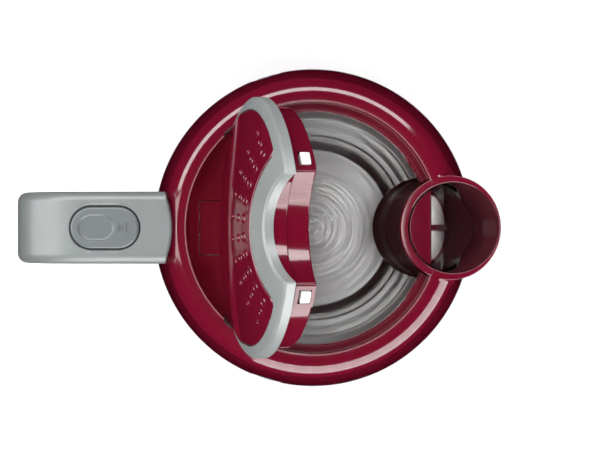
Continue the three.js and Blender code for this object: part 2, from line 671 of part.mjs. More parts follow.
const lidHinge = new THREE.Group();
lidHinge.position.set(HINGE.x, 0, HINGE.z);
lidHinge.rotation.y = -LID_OPEN;
jug.add(lidHinge);
const lid = new THREE.Group();
lid.position.set(-HINGE.x, 0, -HINGE.z);
lidHinge.add(lid);
part('lid_trim_ring', lidTrimRing(), GREY, lid);
part('lid_panel', lidPanel(), RED, lid);
part('lid_inner', lidInner(), RED, lid);
part('latch_plate', latchPlate(), WHITE, lid);
part('lid_spring_left', springCoil(24, 31), STEEL, lid);
part('lid_spring_right', springCoil(-31, -24), STEEL, lid);
part('hinge_pin_left', barY(1.5, HINGE.x, HINGE.z, 23, 47.5, 16), STEEL, jug);
part('hinge_pin_right', barY(1.5, HINGE.x, HINGE.z, -47.5, -23, 16), STEEL, jug);

export default kettle;
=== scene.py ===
import json
import math

import bmesh
import bpy
import numpy as np
from mathutils import Matrix, Vector


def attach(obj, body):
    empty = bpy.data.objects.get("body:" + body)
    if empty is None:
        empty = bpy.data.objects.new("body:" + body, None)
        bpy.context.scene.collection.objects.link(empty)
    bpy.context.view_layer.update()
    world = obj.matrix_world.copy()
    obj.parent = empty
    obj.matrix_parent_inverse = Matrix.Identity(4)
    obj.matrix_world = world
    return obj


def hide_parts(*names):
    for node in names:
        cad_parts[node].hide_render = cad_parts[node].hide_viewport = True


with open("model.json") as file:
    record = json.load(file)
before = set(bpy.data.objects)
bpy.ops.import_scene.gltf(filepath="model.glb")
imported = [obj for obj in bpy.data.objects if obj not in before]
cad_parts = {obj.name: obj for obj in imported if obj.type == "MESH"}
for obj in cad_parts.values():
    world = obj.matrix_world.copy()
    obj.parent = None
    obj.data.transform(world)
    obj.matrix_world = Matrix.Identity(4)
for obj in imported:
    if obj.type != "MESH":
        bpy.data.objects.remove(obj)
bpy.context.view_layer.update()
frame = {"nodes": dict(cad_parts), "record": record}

RECORD = frame["record"]
BODY_OF = {node: body for body, nodes in RECORD["behaviour"]["bodies"].items() for node in nodes}
SLOT_OF = {row["node"]: row["material_slot"] for row in RECORD["subparts"]}

# Driving dimensions, the same as the parts'.
MM = 0.001
GAP = 0.35
BASE_R = 75
BASE_TOP_Z = 20
DRUM_R = 36
COVER_Z = 11                          # underside of the base's cover plate
FOOT_R = 61
BASE_SCREW_R = 50
GLAND_Z = 6.4
JUG_Z = 20.5
WALL = 2.6
RIM_Z = 218
FILLET_R, FILLET_Z, FILLET = 57.3, 209, 9
RECESS_R = 54.7
LEDGE_Z = 212.9
LEDGE_R = 51.2
PLATE_Z = 46
PLATE_R = 66.4
COVER_SCREW_R = 66.4
HINGE_X, HINGE_Z = -33, 215.8
LID_OPEN = math.radians(72.7)
LID_R = 54.3
LID_DOME = 10
PANEL_R = 49
PANEL_REAR_X, PANEL_REAR_R = -8, 48.6
PANEL_NOTCH_X, PANEL_NOTCH_R = 61.6, 36.4
RING_NOTCH_X, RING_NOTCH_R = 60.4, 23.5
RING_T = 4.2
SKIRT_R = 50.3
SKIRT_Z = 203.9
SKIRT_NOTCH_X, SKIRT_NOTCH_R = 64.6, 29.1
WINDOW_DEG, WINDOW_Z, WINDOW_W, WINDOW_H = 32.4, 208.2, 6.6, 5.2
TROUGH_R = 22.2
WELL_HALF_Y = 44
SPOUT_X, SPOUT_R = 61.3, 19.8
HANDLE_HALF_Y = 15.7
BUTTON_X, BUTTON_HALF, BUTTON_R = -90, 5.85, 9.1
SWITCH_X, SWITCH_Z = -103, 58.5
FINE = 192                            # steps round a large turned piece
MEDIUM = 96
SMALL = 48


# Curves and outlines ------------------------------------------------------------------------

def spline(points, steps):
    """Points along the smooth curve that passes evenly through the given ones."""
    p = np.array(points, float)
    t = np.linspace(0, len(p) - 1, steps + 1)
    i = np.minimum(t.astype(int), len(p) - 2)
    w = (t - i)[:, None]
    p0, p1, p2, p3 = (p[np.clip(i + k, 0, len(p) - 1)] for k in (-1, 0, 1, 2))
    v0, v1 = (p2 - p0) / 2, (p3 - p1) / 2
    return (2 * p1 - 2 * p2 + v0 + v1) * w ** 3 + (3 * p2 - 3 * p1 - 2 * v0 - v1) * w ** 2 + v0 * w + p1


def arc(x, y, r, start_deg, end_deg, steps):
    """Points on a circle from one angle to another."""
    a = np.radians(np.linspace(start_deg, end_deg, steps + 1))
    return [(x + r * math.cos(t), y + r * math.sin(t)) for t in a]


def eased(corners, steps=5, closed=True):
    """An outline through corners (u, v, radius), each rounded to its radius."""
    out = []
    for i, (u, v, *radius) in enumerate(corners):
        here = Vector((u, v))
        if not radius or (not closed and i in (0, len(corners) - 1)):
            out.append((u, v))
            continue
        a = Vector(corners[i - 1][:2]) - here
        b = Vector(corners[(i + 1) % len(corners)][:2]) - here
        reach = min(radius[0] / math.tan(a.angle(b) / 2), a.length * 0.49, b.length * 0.49)
        start, end = here + a.normalized() * reach, here + b.normalized() * reach
        for w in np.linspace(0, 1, steps + 1):
            out.append(tuple(start * (1 - w) ** 2 + here * 2 * w * (1 - w) + end * w ** 2))
    return out


def stadium(x, half, r, steps=16):
    """A plan outline with round ends, long side along X."""
    return arc(x + half, 0, r, -90, 90, steps) + arc(x - half, 0, r, 90, 270, steps)


def moved_in(outline, by):
    """The outline moved inward by a distance, or outward where that is negative."""
    p = np.asarray(outline, float)
    along = np.roll(p, -1, 0) - np.roll(p, 1, 0)
    out = np.stack([along[:, 1], -along[:, 0]], 1)
    out /= np.linalg.norm(out, axis=1)[:, None] + 1e-12
    area = np.sum(p[:, 0] * np.roll(p[:, 1], -1) - np.roll(p[:, 0], -1) * p[:, 1])
    return p - out * by * (1 if area > 0 else -1)


def levels(low, high, low_round=0.0, high_round=0.0, steps=4):
    """(inset, height) pairs for a slab with rounded edges. A negative radius flares the edge outward."""
    turn = np.linspace(0, math.pi / 2, steps + 1)
    below = [(low_round * (1 - math.sin(a)), low + abs(low_round) * (1 - math.cos(a))) for a in turn]
    above = [(high_round * (1 - math.sin(a)), high - abs(high_round) * (1 - math.cos(a))) for a in turn[::-1]]
    return (below if low_round else [(0, low)]) + (above if high_round else [(0, high)])


# Meshes -------------------------------------------------------------------------------------

def make(verts, faces, name="tool"):
    """A closed mesh object with its faces pointing out."""
    mesh = bpy.data.meshes.new(name)
    mesh.from_pydata((np.asarray(verts, float) * MM).tolist(), [], faces)
    bm = bmesh.new()
    bm.from_mesh(mesh)
    bmesh.ops.remove_doubles(bm, verts=bm.verts, dist=1e-7)
    bmesh.ops.recalc_face_normals(bm, faces=bm.faces)
    bm.to_mesh(mesh)
    bm.free()
    obj = bpy.data.objects.new(name, mesh)
    bpy.context.scene.collection.objects.link(obj)
    return obj


def skin(rings, wrap=False):
    """A closed surface over rings of points. The first and last ring are capped, or joined to each other."""
    rings = np.asarray(rings, float)
    n, m = rings.shape[:2]
    i, j = np.meshgrid(np.arange(n if wrap else n - 1), np.arange(m), indexing="ij")
    i, j = i.ravel(), j.ravel()
    a, b, k = i * m, ((i + 1) % n) * m, (j + 1) % m
    faces = np.stack([a + j, a + k, b + k, b + j], 1).tolist()
    if not wrap:
        faces += [list(range(m))[::-1], list(range((n - 1) * m, n * m))]
    return make(rings.reshape(-1, 3), faces)


def turned(profile, steps=FINE, x=0.0, y=0.0):
    """A turned piece, from a closed (r, z) outline or one that starts and ends on the axis."""
    p = np.asarray(profile, float)
    a = np.linspace(0, 2 * math.pi, steps, endpoint=False)[:, None]
    r, z = p[None, :, 0], np.broadcast_to(p[None, :, 1], (steps, len(p)))
    return skin(np.stack([x + r * np.cos(a), y + r * np.sin(a), z], 2), wrap=True)


def slab(outline, insets):
    """An upright piece of a plan outline, whose inset changes with height."""
    return skin([[(u, v, z) for u, v in moved_in(outline, by)] for by, z in insets])


def disc(r, z0, z1, x=0.0, y=0.0, steps=SMALL, edge=0.0):
    return slab(arc(x, y, r, 0, 360 - 360 / steps, steps - 1), levels(z0, z1, edge, edge))


def box(x0, x1, y0, y1, z0, z1, edge=0.0):
    """A block with rounded corners and edges."""
    corners = [(x0, y0), (x1, y0), (x1, y1), (x0, y1)]
    outline = eased([(*c, edge) for c in corners]) if edge else corners
    return slab(outline, levels(z0, z1, edge, edge)) if edge else skin([[(*c, z) for c in corners] for z in (z0, z1)])


def across(outline, y0, y1, edge=0.0):
    """A side-view (x, z) outline made solid from y0 to y1, with rounded edges."""
    rows = [[(u, y, v) for u, v in moved_in(outline, by)] for by, y in levels(y0, y1, edge, edge)]
    return skin(rows)


def bar_y(r, x, z, y0, y1, steps=SMALL, edge=0.0):
    return across(arc(x, z, r, 0, 360 - 360 / steps, steps - 1), y0, y1, edge)


def lofted(stations, steps=FINE, between=1):
    """A tube-like solid through stations (z, x, rx, ry)."""
    smooth = spline(stations, (len(stations) - 1) * between)
    a = np.linspace(0, 2 * math.pi, steps, endpoint=False)
    return skin([np.stack([x + rx * np.cos(a), ry * np.sin(a), np.full(steps, z)], 1) for z, x, rx, ry in smooth])


def shaped(obj, matrix):
    obj.data.transform(matrix)
    return obj


def turn_z(deg):
    return Matrix.Rotation(math.radians(deg), 4, "Z")


def around(build, count, start_deg=0.0):
    """Copies of a piece round the axis."""
    return [shaped(build(), turn_z(start_deg + 360 * i / count)) for i in range(count)]


def combine(obj, operation, tools):
    for tool in tools:
        step = obj.modifiers.new("step", "BOOLEAN")
        step.operation, step.solver, step.object = operation, "MANIFOLD", tool
    bpy.context.view_layer.update()
    mesh = bpy.data.meshes.new_from_object(obj.evaluated_get(bpy.context.evaluated_depsgraph_get()))
    obj.modifiers.clear()
    obj.data = mesh
    for tool in tools:
        bpy.data.objects.remove(tool)
    return obj


def cut(obj, *tools):
    return combine(obj, "DIFFERENCE", tools)


def union(obj, *tools):
    return combine(obj, "UNION", tools)


def common(obj, *tools):
    return combine(obj, "INTERSECT", tools)


LOOKS = {}


def finished(obj, node, look=None, sharp=38.0):
    """Names a piece, shades it, gives it its material, and hands it to its node's body."""
    obj.name = obj.data.name = "fine_" + node
    obj.data.materials.clear()
    obj.data.materials.append(LOOKS[look or SLOT_OF[node]])
    obj.data.shade_smooth()
    obj.data.set_sharp_from_angle(angle=math.radians(sharp))
    weighted = obj.modifiers.new("flat faces stay flat", "WEIGHTED_NORMAL")
    weighted.weight, weighted.keep_sharp = 100, True
    smooth = bpy.data.meshes.new_from_object(obj.evaluated_get(bpy.context.evaluated_depsgraph_get()))
    obj.modifiers.clear()
    obj.data = smooth
    obj.data.name = obj.name
    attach(obj, BODY_OF[node])
    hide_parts(node)
    return obj


# Materials ----------------------------------------------------------------------------------

class Look:
    """A Principled material, and the textures that vary it. Scales are in repeats per metre."""

    def __init__(self, name, color, rough, **constants):
        self.material = bpy.data.materials.new(name)
        self.material.use_nodes = True
        self.tree = self.material.node_tree
        self.shader = self.tree.nodes["Principled BSDF"]
        self.shader.inputs["Base Color"].default_value = (*color, 1)
        self.shader.inputs["Roughness"].default_value = rough
        for socket, value in constants.items():
            self.shader.inputs[socket.replace("_", " ")].default_value = value
        here = self.add("ShaderNodeTexCoord").outputs
        self.place, self.facing = here["Object"], here["Normal"]
        LOOKS[name] = self.material

    def add(self, kind, **settings):
        node = self.tree.nodes.new(kind)
        for key, value in settings.items():
            setattr(node, key, value)
        return node

    def link(self, source, target):
        self.tree.links.new(source, target)

    def noise(self, scale, detail=2.0, place=None, distortion=0.0):
        node = self.add("ShaderNodeTexNoise")
        node.inputs["Scale"].default_value = scale
        node.inputs["Detail"].default_value = detail
        node.inputs["Distortion"].default_value = distortion
        self.link(place or self.place, node.inputs["Vector"])
        return node.outputs["Fac"]

    def stretched(self, x, y, z):
        """The place, squeezed along an axis so that a texture runs along it."""
        node = self.add("ShaderNodeMapping")
        node.inputs["Scale"].default_value = (x, y, z)
        self.link(self.place, node.inputs["Vector"])
        return node.outputs["Vector"]

    def between(self, factor, low, high, start=0.0, end=1.0):
        node = self.add("ShaderNodeMapRange")
        for socket, value in (("From Min", start), ("From Max", end), ("To Min", low), ("To Max", high)):
            node.inputs[socket].default_value = value
        self.link(factor, node.inputs["Value"])
        return node.outputs["Result"]

    def split(self, vector):
        node = self.add("ShaderNodeSeparateXYZ")
        self.link(vector, node.inputs["Vector"])
        return node.outputs

    def math(self, operation, *values):
        node = self.add("ShaderNodeMath", operation=operation)
        for socket, value in zip(node.inputs, values):
            if isinstance(value, (int, float)):
                socket.default_value = value
            else:
                self.link(value, socket)
        return node.outputs["Value"]

    def colors(self, factor, low, high):
        node = self.add("ShaderNodeValToRGB")
        self.link(factor, node.inputs["Fac"])
        for stop, position, color in zip(node.color_ramp.elements, (0.3, 0.7), (low, high)):
            stop.position, stop.color = position, (*color, 1)
        self.link(node.outputs["Color"], self.shader.inputs["Base Color"])

    def blend(self, factor, color):
        """Takes the present colour towards another one."""
        node = self.add("ShaderNodeMixRGB")
        self.link(factor, node.inputs["Fac"])
        self.link(self.shader.inputs["Base Color"].links[0].from_socket, node.inputs["Color1"])
        node.inputs["Color2"].default_value = (*color, 1)
        self.link(node.outputs["Color"], self.shader.inputs["Base Color"])

    def rough(self, factor, low, high, start=0.0, end=1.0):
        self.link(self.between(factor, low, high, start, end), self.shader.inputs["Roughness"])

    def bump(self, *layers):
        """Layers of (height, strength, depth in metres)."""
        normal = None
        for height, strength, depth in layers:
            node = self.add("ShaderNodeBump")
            node.inputs["Strength"].default_value = strength
            node.inputs["Distance"].default_value = depth
            self.link(height, node.inputs["Height"])
            if normal:
                self.link(normal, node.inputs["Normal"])
            normal = node.outputs["Normal"]
        self.link(normal, self.shader.inputs["Normal"])

    def polar(self, around_scale):
        """Distance from the object's axis, with only a slow change along each circle."""
        x, y, z = self.split(self.place)
        radius = self.math("SQRT", self.math("ADD", self.math("MULTIPLY", x, x), self.math("MULTIPLY", y, y)))
        self.radius = radius
        turn = self.math("MULTIPLY", self.math("ARCTAN2", y, x), around_scale)
        join = self.add("ShaderNodeCombineXYZ")
        for source, target in zip((radius, turn, z), join.inputs):
            self.link(source, target)
        return join.outputs["Vector"]


def shaded(color, by):
    return tuple(min(c * by, 1.0) for c in color)


def gloss_plastic(name, color, rough=0.09, **constants):
    """Polished moulded plastic: a faint ripple from the mould, fine wiping marks and a little dust."""
    look = Look(name, color, rough, **constants)
    cloud = look.noise(34, 3)
    look.colors(cloud, shaded(color, 0.94), shaded(color, 1.06))
    wiped = look.noise(1400, 3, look.stretched(0.05, 1, 0.4))
    look.rough(look.math("MAXIMUM", look.between(wiped, 0, 1, 0.62, 0.8), look.between(cloud, 0, 0.35, 0.3, 0.7)),
               rough * 0.8, rough * 1.9)
    look.bump((look.noise(60, 1), 0.12, 0.00003), (look.noise(2600, 2), 0.15, 0.000004))
    return look


def satin_plastic(name, color, rough=0.4, grain=2200, depth=0.00002, **constants):
    """Spark-eroded moulded plastic: an even fine grain, slightly polished where it is higher."""
    look = Look(name, color, rough, **constants)
    fine = look.noise(grain, 3)
    look.colors(look.noise(55, 4), shaded(color, 0.93), shaded(color, 1.06))
    look.rough(fine, rough * 0.85, rough * 1.2, 0.3, 0.7)
    look.bump((fine, 0.5, depth), (look.noise(grain / 3.3, 2), 0.25, depth * 1.5))
    return look


def turned_steel(name, color, rough, lines, polished_from=0.0, **constants):
    """Steel with circular brushing about the kettle's axis, and smoother beyond a distance from it."""
    look = Look(name, color, rough, Metallic=1.0, **constants)
    place = look.polar(0.0004)
    brush = look.noise(lines, 3, place)
    broad = look.noise(lines / 9, 2, place)
    look.colors(broad, shaded(color, 0.95), shaded(color, 1.06))
    brushed = look.between(brush, rough * 0.8, rough * 1.25, 0.3, 0.7)
    if polished_from:
        outside = look.between(look.radius, 0, 1, polished_from, polished_from + 0.0015)
        brushed = look.math("ADD", look.math("MULTIPLY", brushed, look.math("SUBTRACT", 1.0, outside)),
                            look.math("MULTIPLY", outside, rough * 0.78))
    look.link(brushed, look.shader.inputs["Roughness"])
    look.bump((brush, 0.05, 0.000004))
    tangent = look.add("ShaderNodeTangent", direction_type="RADIAL", axis="Z")
    look.link(tangent.outputs["Tangent"], look.shader.inputs["Tangent"])
    return look


def plain_metal(name, color, rough, grain=900, **constants):
    look = Look(name, color, rough, Metallic=1.0, **constants)
    stain = look.noise(grain / 6, 4)
    fine = look.noise(grain * 3, 3)
    look.colors(stain, shaded(color, 0.8), shaded(color, 1.12))
    look.rough(fine, rough * 0.8, rough * 1.4, 0.25, 0.75)
    look.bump((fine, 0.4, 0.00001), (stain, 0.2, 0.00003))
    return look


def clear_plastic():
    look = Look("clear_plastic", (0.78, 0.84, 0.88), 0.05, Transmission_Weight=0.85, IOR=1.49)
    scratches = look.noise(1800, 3, look.stretched(1, 1, 0.03))
    look.rough(scratches, 0.03, 0.16, 0.5, 0.8)
    look.bump((look.noise(120, 1), 0.2, 0.00005), (scratches, 0.2, 0.000005))


def soft_rubber(name, color, rough):
    look = Look(name, color, rough, Sheen_Weight=0.25, Sheen_Roughness=0.5)
    fine = look.noise(3000, 3)
    look.colors(look.noise(90, 4), shaded(color, 0.8), shaded(color, 1.4))
    look.rough(fine, rough * 0.9, min(rough * 1.15, 1.0))
    look.bump((fine, 0.5, 0.000025), (look.noise(400, 2), 0.3, 0.00003))


def nylon_thread():
    look = Look("filter_mesh", (0.85, 0.8, 0.79), 0.45, Subsurface_Weight=0.15, Subsurface_Scale=0.0004)
    look.colors(look.noise(260, 3), (0.86, 0.82, 0.81), (0.95, 0.92, 0.91))
    look.rough(look.noise(2600, 2), 0.35, 0.6)
    look.bump((look.noise(4200, 2), 0.4, 0.00001))


def red_inside():
    """The collar's red, with painted light: brighter down in the well than on the ledge."""
    look = gloss_plastic("red_plastic_inside_painted_light", RED, 0.12, Specular_IOR_Level=0.12)
    height = look.between(look.split(look.place)["Z"], 0.0, 1.0, 0.209, 0.2125)
    # painted light: a brighter red below the ledge stands in for light that the shaded well does not get
    look.colors(look.math("ADD", height, look.math("MULTIPLY", look.noise(34, 3), 0.05)), (0.3, 0.013, 0.033), RED)


def red_outside():
    """The body's red, with painted shade: deeper and duller on the walls that face the spout's axis, down inside the
    spout.
    """
    look = gloss_plastic("red_plastic_body_painted_shade", RED)
    x, y, z = look.split(look.place)
    face_x, face_y, _ = look.split(look.facing)
    along = look.math("SUBTRACT", x, SPOUT_X * MM)
    away = look.math("SQRT", look.math("ADD", look.math("MULTIPLY", along, along), look.math("MULTIPLY", y, y)))
    outward = look.math("ADD", look.math("MULTIPLY", along, face_x), look.math("MULTIPLY", y, face_y))
    facing = look.math("MULTIPLY", look.math("LESS_THAN", outward, 0.0012), look.math("GREATER_THAN", z, 0.165))
    # painted shade: a darker red blended onto the spout's inner walls, where shade falls
    look.blend(look.math("MULTIPLY", facing, look.math("LESS_THAN", away, 0.02005)), (0.1, 0.02, 0.03))


def pale_floor():
    look = Look("floor", (0.86, 0.86, 0.86), 0.75)
    cloud = look.noise(6, 3)
    look.colors(cloud, (0.855, 0.855, 0.855), (0.865, 0.865, 0.865))
    look.rough(look.noise(220, 3), 0.7, 0.85)
    look.bump((look.noise(900, 2), 0.1, 0.00002))


def make_looks():
    gloss_plastic("red_plastic", RED)
    gloss_plastic("red_plastic_filter", (0.105, 0.003, 0.014), 0.06)
    red_outside()
    red_inside()
    # a darker, browner copy of the red: painted shade for the guard down in the spout
    gloss_plastic("red_plastic_painted_shade", (0.05, 0.018, 0.02), 0.16)
    satin_plastic("grey_plastic", (0.16, 0.176, 0.175), 0.38)
    satin_plastic("grey_plastic_lid", (0.235, 0.252, 0.25), 0.34)
    satin_plastic("dark_grey_plastic", (0.102, 0.116, 0.122), 0.4)
    satin_plastic("black_plastic", (0.022, 0.022, 0.024), 0.42, 1500, 0.00004)
    gloss_plastic("white_plastic", (0.85, 0.85, 0.82), 0.2)
    clear_plastic()
    turned_steel("brushed_steel", (0.7, 0.7, 0.69), 0.4, 2600, 0.043, Anisotropic=0.7)
    plain_metal("zinc_steel", (0.6, 0.6, 0.58), 0.28)
    plain_metal("aluminium", (0.62, 0.63, 0.64), 0.42, 700)
    plain_metal("brass", (0.72, 0.52, 0.24), 0.22)
    soft_rubber("rubber", (0.025, 0.025, 0.026), 0.75)
    soft_rubber("silicone", (0.68, 0.66, 0.62), 0.5)
    nylon_thread()
    pale_floor()


RED = (0.128, 0.0035, 0.0165)
make_looks()


# Power base ---------------------------------------------------------------------------------

def base_housing():
    shell = turned(eased([
        (0, 17.6), (64.6, 17.6, 0.6), (65.4, 14.4, 1), (BASE_R - 5.5, 13.8, 2), (BASE_R - 2.4, 10.6, 2),
        (BASE_R - 2.4, 1, 0.4), (BASE_R - 0.4, 1, 0.8), (BASE_R, 2.8, 1.6), (BASE_R, 10.5, 4),
        (BASE_R - 1.6, 14.2, 3), (BASE_R - 5, 16, 2), (68.4, 16.6, 1.2), (66.6, BASE_TOP_Z, 1.4), (0, BASE_TOP_Z),
    ]))
    groove = turned([(56.4, 19.6), (57.2, 19.6), (57.4, 20.5), (56.2, 20.5)])
    opening = slab(arc(0, 0, 16, 0, 355, 71), levels(12, BASE_TOP_Z, 0, -0.6) + [(-0.6, 22)])
    notch = across(eased([(-79, -1), (-70, -1), (-70, 9, 1), (-79, 9)]), -4.2, 4.2)
    posts = around(lambda: disc(3.4, COVER_Z + 2.4, 18, BASE_SCREW_R, 0), 3)
    holes = around(lambda: disc(1.7, 12, 17, BASE_SCREW_R, 0), 3)
    return cut(union(cut(shell, groove, opening, notch), *posts), *holes)


def base_bottom_cover():
    plate = turned(eased([
        (0, 2), (DRUM_R - 2.2, 2, 0.8), (DRUM_R - 2.2, 13, 0.3), (69.6, 13, 0.4), (69.6, COVER_Z, 0.4),
        (DRUM_R, COVER_Z, 1.6), (DRUM_R, 0, 0.9), (0, 0),
    ]))
    ribs = around(lambda: box(38.5, 67.5, -0.6, 0.6, 9.9, COVER_Z + 0.5, 0.2), 12, 15)
    posts = around(lambda: disc(7, 1.5, COVER_Z + 1, FOOT_R, 0, edge=0.6), 4, 45)
    holes = around(lambda: disc(1.8, 8, COVER_Z + 3, BASE_SCREW_R, 0), 3)
    gland_hole = shaped(disc(3, -3, 3), Matrix.Translation(Vector((-DRUM_R + 1, 0, GLAND_Z)) * MM)
                        @ Matrix.Rotation(math.pi / 2, 4, "Y"))
    rings = [turned([(r, -1), (r + 0.8, -1), (r + 0.8, 0.4), (r, 0.4)]) for r in (14, 30)]
    return cut(union(plate, *ribs, *posts), *holes, gland_hole, *rings)


def cross_screw(head_r, low, head_high, shank_high, radius):
    """A pan-head screw, head down, with a cross recess."""
    screw = turned(eased([
        (0, low), (head_r - 0.9, low, 0.8), (head_r, low + 0.8, 0.4), (head_r, head_high, 0.15),
        (1.35, head_high, 0.1), (1.35, shank_high, 0.4), (0, shank_high),
    ]), SMALL, radius)
    slots = [shaped(box(-1.7, 1.7, -0.35, 0.35, low - 1, low + 0.8, 0), Matrix.Translation((radius * MM, 0, 0))
                    @ turn_z(deg)) for deg in (20, 110)]
    return cut(screw, *slots)


def base_screw():
    return cross_screw(3, 9.2, COVER_Z - GAP, 16.4, BASE_SCREW_R)


def base_foot():
    foot = disc(5.6, 0, 1.15, FOOT_R, 0, edge=0.4)
    groove = turned([(3.6, -1), (4.0, -1), (4.0, 0.35), (3.6, 0.35)], SMALL, FOOT_R)
    return cut(foot, groove)


def cord_gland():
    flanges = turned(eased([
        (1.7, -3, 0.3), (3.9, -3, 0.4), (3.9, -1.7, 0.3), (2.5, -1.7, 0.2), (2.5, 1.7, 0.2), (3.9, 1.7, 0.3),
        (3.9, 3, 0.4), (1.7, 3, 0.3),
    ]), SMALL)
    return shaped(flanges, Matrix.Translation(Vector((-DRUM_R + 1.1, 0, GLAND_Z)) * MM)
                  @ Matrix.Rotation(math.pi / 2, 4, "Y"))


def base_connector():
    return turned(eased([
        (0, 3), (13, 3, 0.5), (13, 12, 0.3), (18, 12, 0.5), (18, 17.2, 0.5), (13.6, 17.2, 0.4), (13.6, 31.2, 0.3),
        (12.8, 32, 0.5), (9.4, 32, 0.4), (9.4, 21, 0.3), (6.6, 21, 0.3), (6.6, 30, 0.5), (3.4, 30, 0.5),
        (3.4, 19, 0.3), (0, 19),
    ]), MEDIUM)


def make_base():
    finished(base_housing(), "base_housing")
    finished(base_bottom_cover(), "base_bottom_cover")
    finished(base_connector(), "base_connector")
    finished(disc(1.6, 19.4, 29.5, edge=0.7), "base_contact_pin")
    finished(turned(eased([(7.1, 21.4, 0.3), (8.9, 21.4, 0.3), (8.9, 29, 0.6), (7.1, 29, 0.6)]), MEDIUM),
             "base_contact_ring")
    finished(cord_gland(), "cord_gland")
    for number, foot in enumerate(around(base_foot, 4, 45), 1):
        finished(foot, f"base_foot_{number}")
    for number, screw in enumerate(around(base_screw, 3), 1):
        finished(screw, f"base_screw_{number}")


# Jug ----------------------------------------------------------------------------------------

WALL_LINE = spline([(73.2, JUG_Z), (75.7, 52), (77.15, 104), (75.5, 150), (70.6, 189), (66.15, 210.6)], 400)
SPOUT_OUTSIDE = [(158, 60, 13.4, 8), (175, 58, 17, 15), (190, 58, 19.2, 19.6), (205, 59, 21, 22), (218, 60, 22, 22.8)]
SPOUT_INSIDE = [(170, 57.9, 12.8, 11.6), (184, 58.5, 15.9, 16.2), (198, 60, 16.9, 18.8), (208, 60.8, 18.3, 19.3),
                (216.6, 61.2, 19.6, 19.7)]
SPOUT_TUBE_Z = 206
SIDE_WINDOW = {"deg": 107, "half_w": 7, "z0": 70, "z1": 176}
SPOUT_BLEND = 5.0                     # radius of the hollow where the spout meets the body


def wall_r(z, margin=0.0):
    """Outer radius of the jug's body at a height, without the spout."""
    on_fillet = FILLET_R + math.sqrt(max((FILLET + margin) ** 2 - (z - FILLET_Z) ** 2, 0)) if z > FILLET_Z else 0
    return on_fillet if z > 210.6 else float(np.interp(z, WALL_LINE[:, 1], WALL_LINE[:, 0])) + margin


def spout_at(z):
    """Centre and half sizes of the spout's outside at a height, with a rounded lip."""
    line = spline(SPOUT_OUTSIDE, 80)
    x, rx, ry = (float(np.interp(z, line[:, 0], line[:, k])) for k in (1, 2, 3))
    lip = 0.4
    above = max(z - (RIM_Z - lip), 0)
    drop = lip - math.sqrt(max(lip ** 2 - above ** 2, 0))
    return x, rx - drop, ry - drop


def body_radius(angle, z, blend):
    """Outer radius of body and spout together, looking along an angle."""
    x, rx, ry = spout_at(max(z, SPOUT_OUTSIDE[0][0]))
    low, high = 40.0, 100.0
    plain = wall_r(z)
    for _ in range(26):
        r = (low + high) / 2
        u, v = (r * math.cos(angle) - x) / rx, r * math.sin(angle) / ry
        spout = (math.hypot(u, v) - 1) * min(rx, ry)
        body = r - plain
        h = max(blend - abs(spout - body), 0) / blend if blend else 0
        inside = min(spout, body) - h * h * blend / 4 < 0
        low, high = (r, high) if inside else (low, r)
    return low


def jug_shell():
    """The jug's wall: outside with the spout, rim, recess for the lid, and inside."""
    side = list(WALL_LINE[::8, 1][:-1])
    dense = [z for z in np.linspace(158, 209, 52)]
    heights = sorted(set(np.round([z for z in side if z < 157] + dense, 3)))
    heights += [FILLET_Z + FILLET * math.sin(a) for a in np.linspace(0.03, math.pi / 2, 26)]
    inner = [(r - WALL, z) for r, z in WALL_LINE[::8] if JUG_Z + 1 < z < 206][::-1]
    rest = eased([(RECESS_R + 1.6, RIM_Z), (RECESS_R, RIM_Z, 0.8), (RECESS_R, 213.2)], closed=False)
    rest += [(61, 213.2), (63.3, 209.5)] + inner + [(70.6, JUG_Z + 0.3), (71.0, JUG_Z), (72.6, JUG_Z)]
    angles = np.concatenate([np.radians(np.arange(-42, 42, 0.7)), np.radians(np.arange(42, 318, 1.725))])
    rings = []
    for angle in angles:
        turned_in = (angle + math.pi) % (2 * math.pi) - math.pi
        near_spout = abs(turned_in) < math.radians(41)
        blend = SPOUT_BLEND * min(1.0, max(0.0, (math.radians(41) - abs(turned_in)) / math.radians(8)))
        outside = []
        for z in heights:
            fade = blend * min(1.0, max(0.02, (RIM_Z - z) / 6))
            outside.append((body_radius(angle, z, fade) if near_spout and z > 157 else wall_r(z), z))
        c, s = math.cos(angle), math.sin(angle)
        rings.append([(r * c, r * s, z) for r, z in outside + rest])
    return skin(rings, wrap=True)


def spout_room():
    """The inside of the spout, flared at the top so that the mouth's edge is rounded."""
    edge = 0.45
    flare = [(RIM_Z - edge + edge * math.sin(a), SPOUT_X, SPOUT_R + edge * (1 - math.cos(a)),
              SPOUT_R + edge * (1 - math.cos(a))) for a in np.linspace(0, math.pi / 2, 6)]
    top = SPOUT_R + edge
    smooth = spline(SPOUT_INSIDE, 48).tolist()
    return lofted(smooth + flare + [(RIM_Z + 6, SPOUT_X, top, top)])


def spout_divider():
    """The crescent wall between the spout and the lid's recess."""
    a = np.linspace(0, 2 * math.pi, FINE, endpoint=False)
    rows = [(SPOUT_TUBE_Z, 60, 22, 22.8)] + [
        (RIM_Z + 0.3 - 0.6 * (1 - math.sin(t)), 60, 22 - 0.6 * (1 - math.cos(t)), 22.8 - 0.6 * (1 - math.cos(t)))
        for t in np.linspace(0, math.pi / 2, 6)]
    rows += [(RIM_Z + 0.3 - 0.6 * (1 - math.sin(t)), SPOUT_X, SPOUT_R + 0.6 * (1 - math.cos(t)),
              SPOUT_R + 0.6 * (1 - math.cos(t))) for t in np.linspace(math.pi / 2, 0, 6)]
    inside = spline(SPOUT_INSIDE, 48)[::-1]
    rows += [tuple(row) for row in inside if row[0] > SPOUT_TUBE_Z]
    last = rows[-1]
    rows.append((SPOUT_TUBE_Z, *last[1:]))
    rings = [np.stack([x + rx * np.cos(a), ry * np.sin(a), np.full(FINE, z)], 1) for z, x, rx, ry in rows]
    return common(skin(rings, wrap=True), disc(RECESS_R + 0.8, 200, 230, steps=FINE))


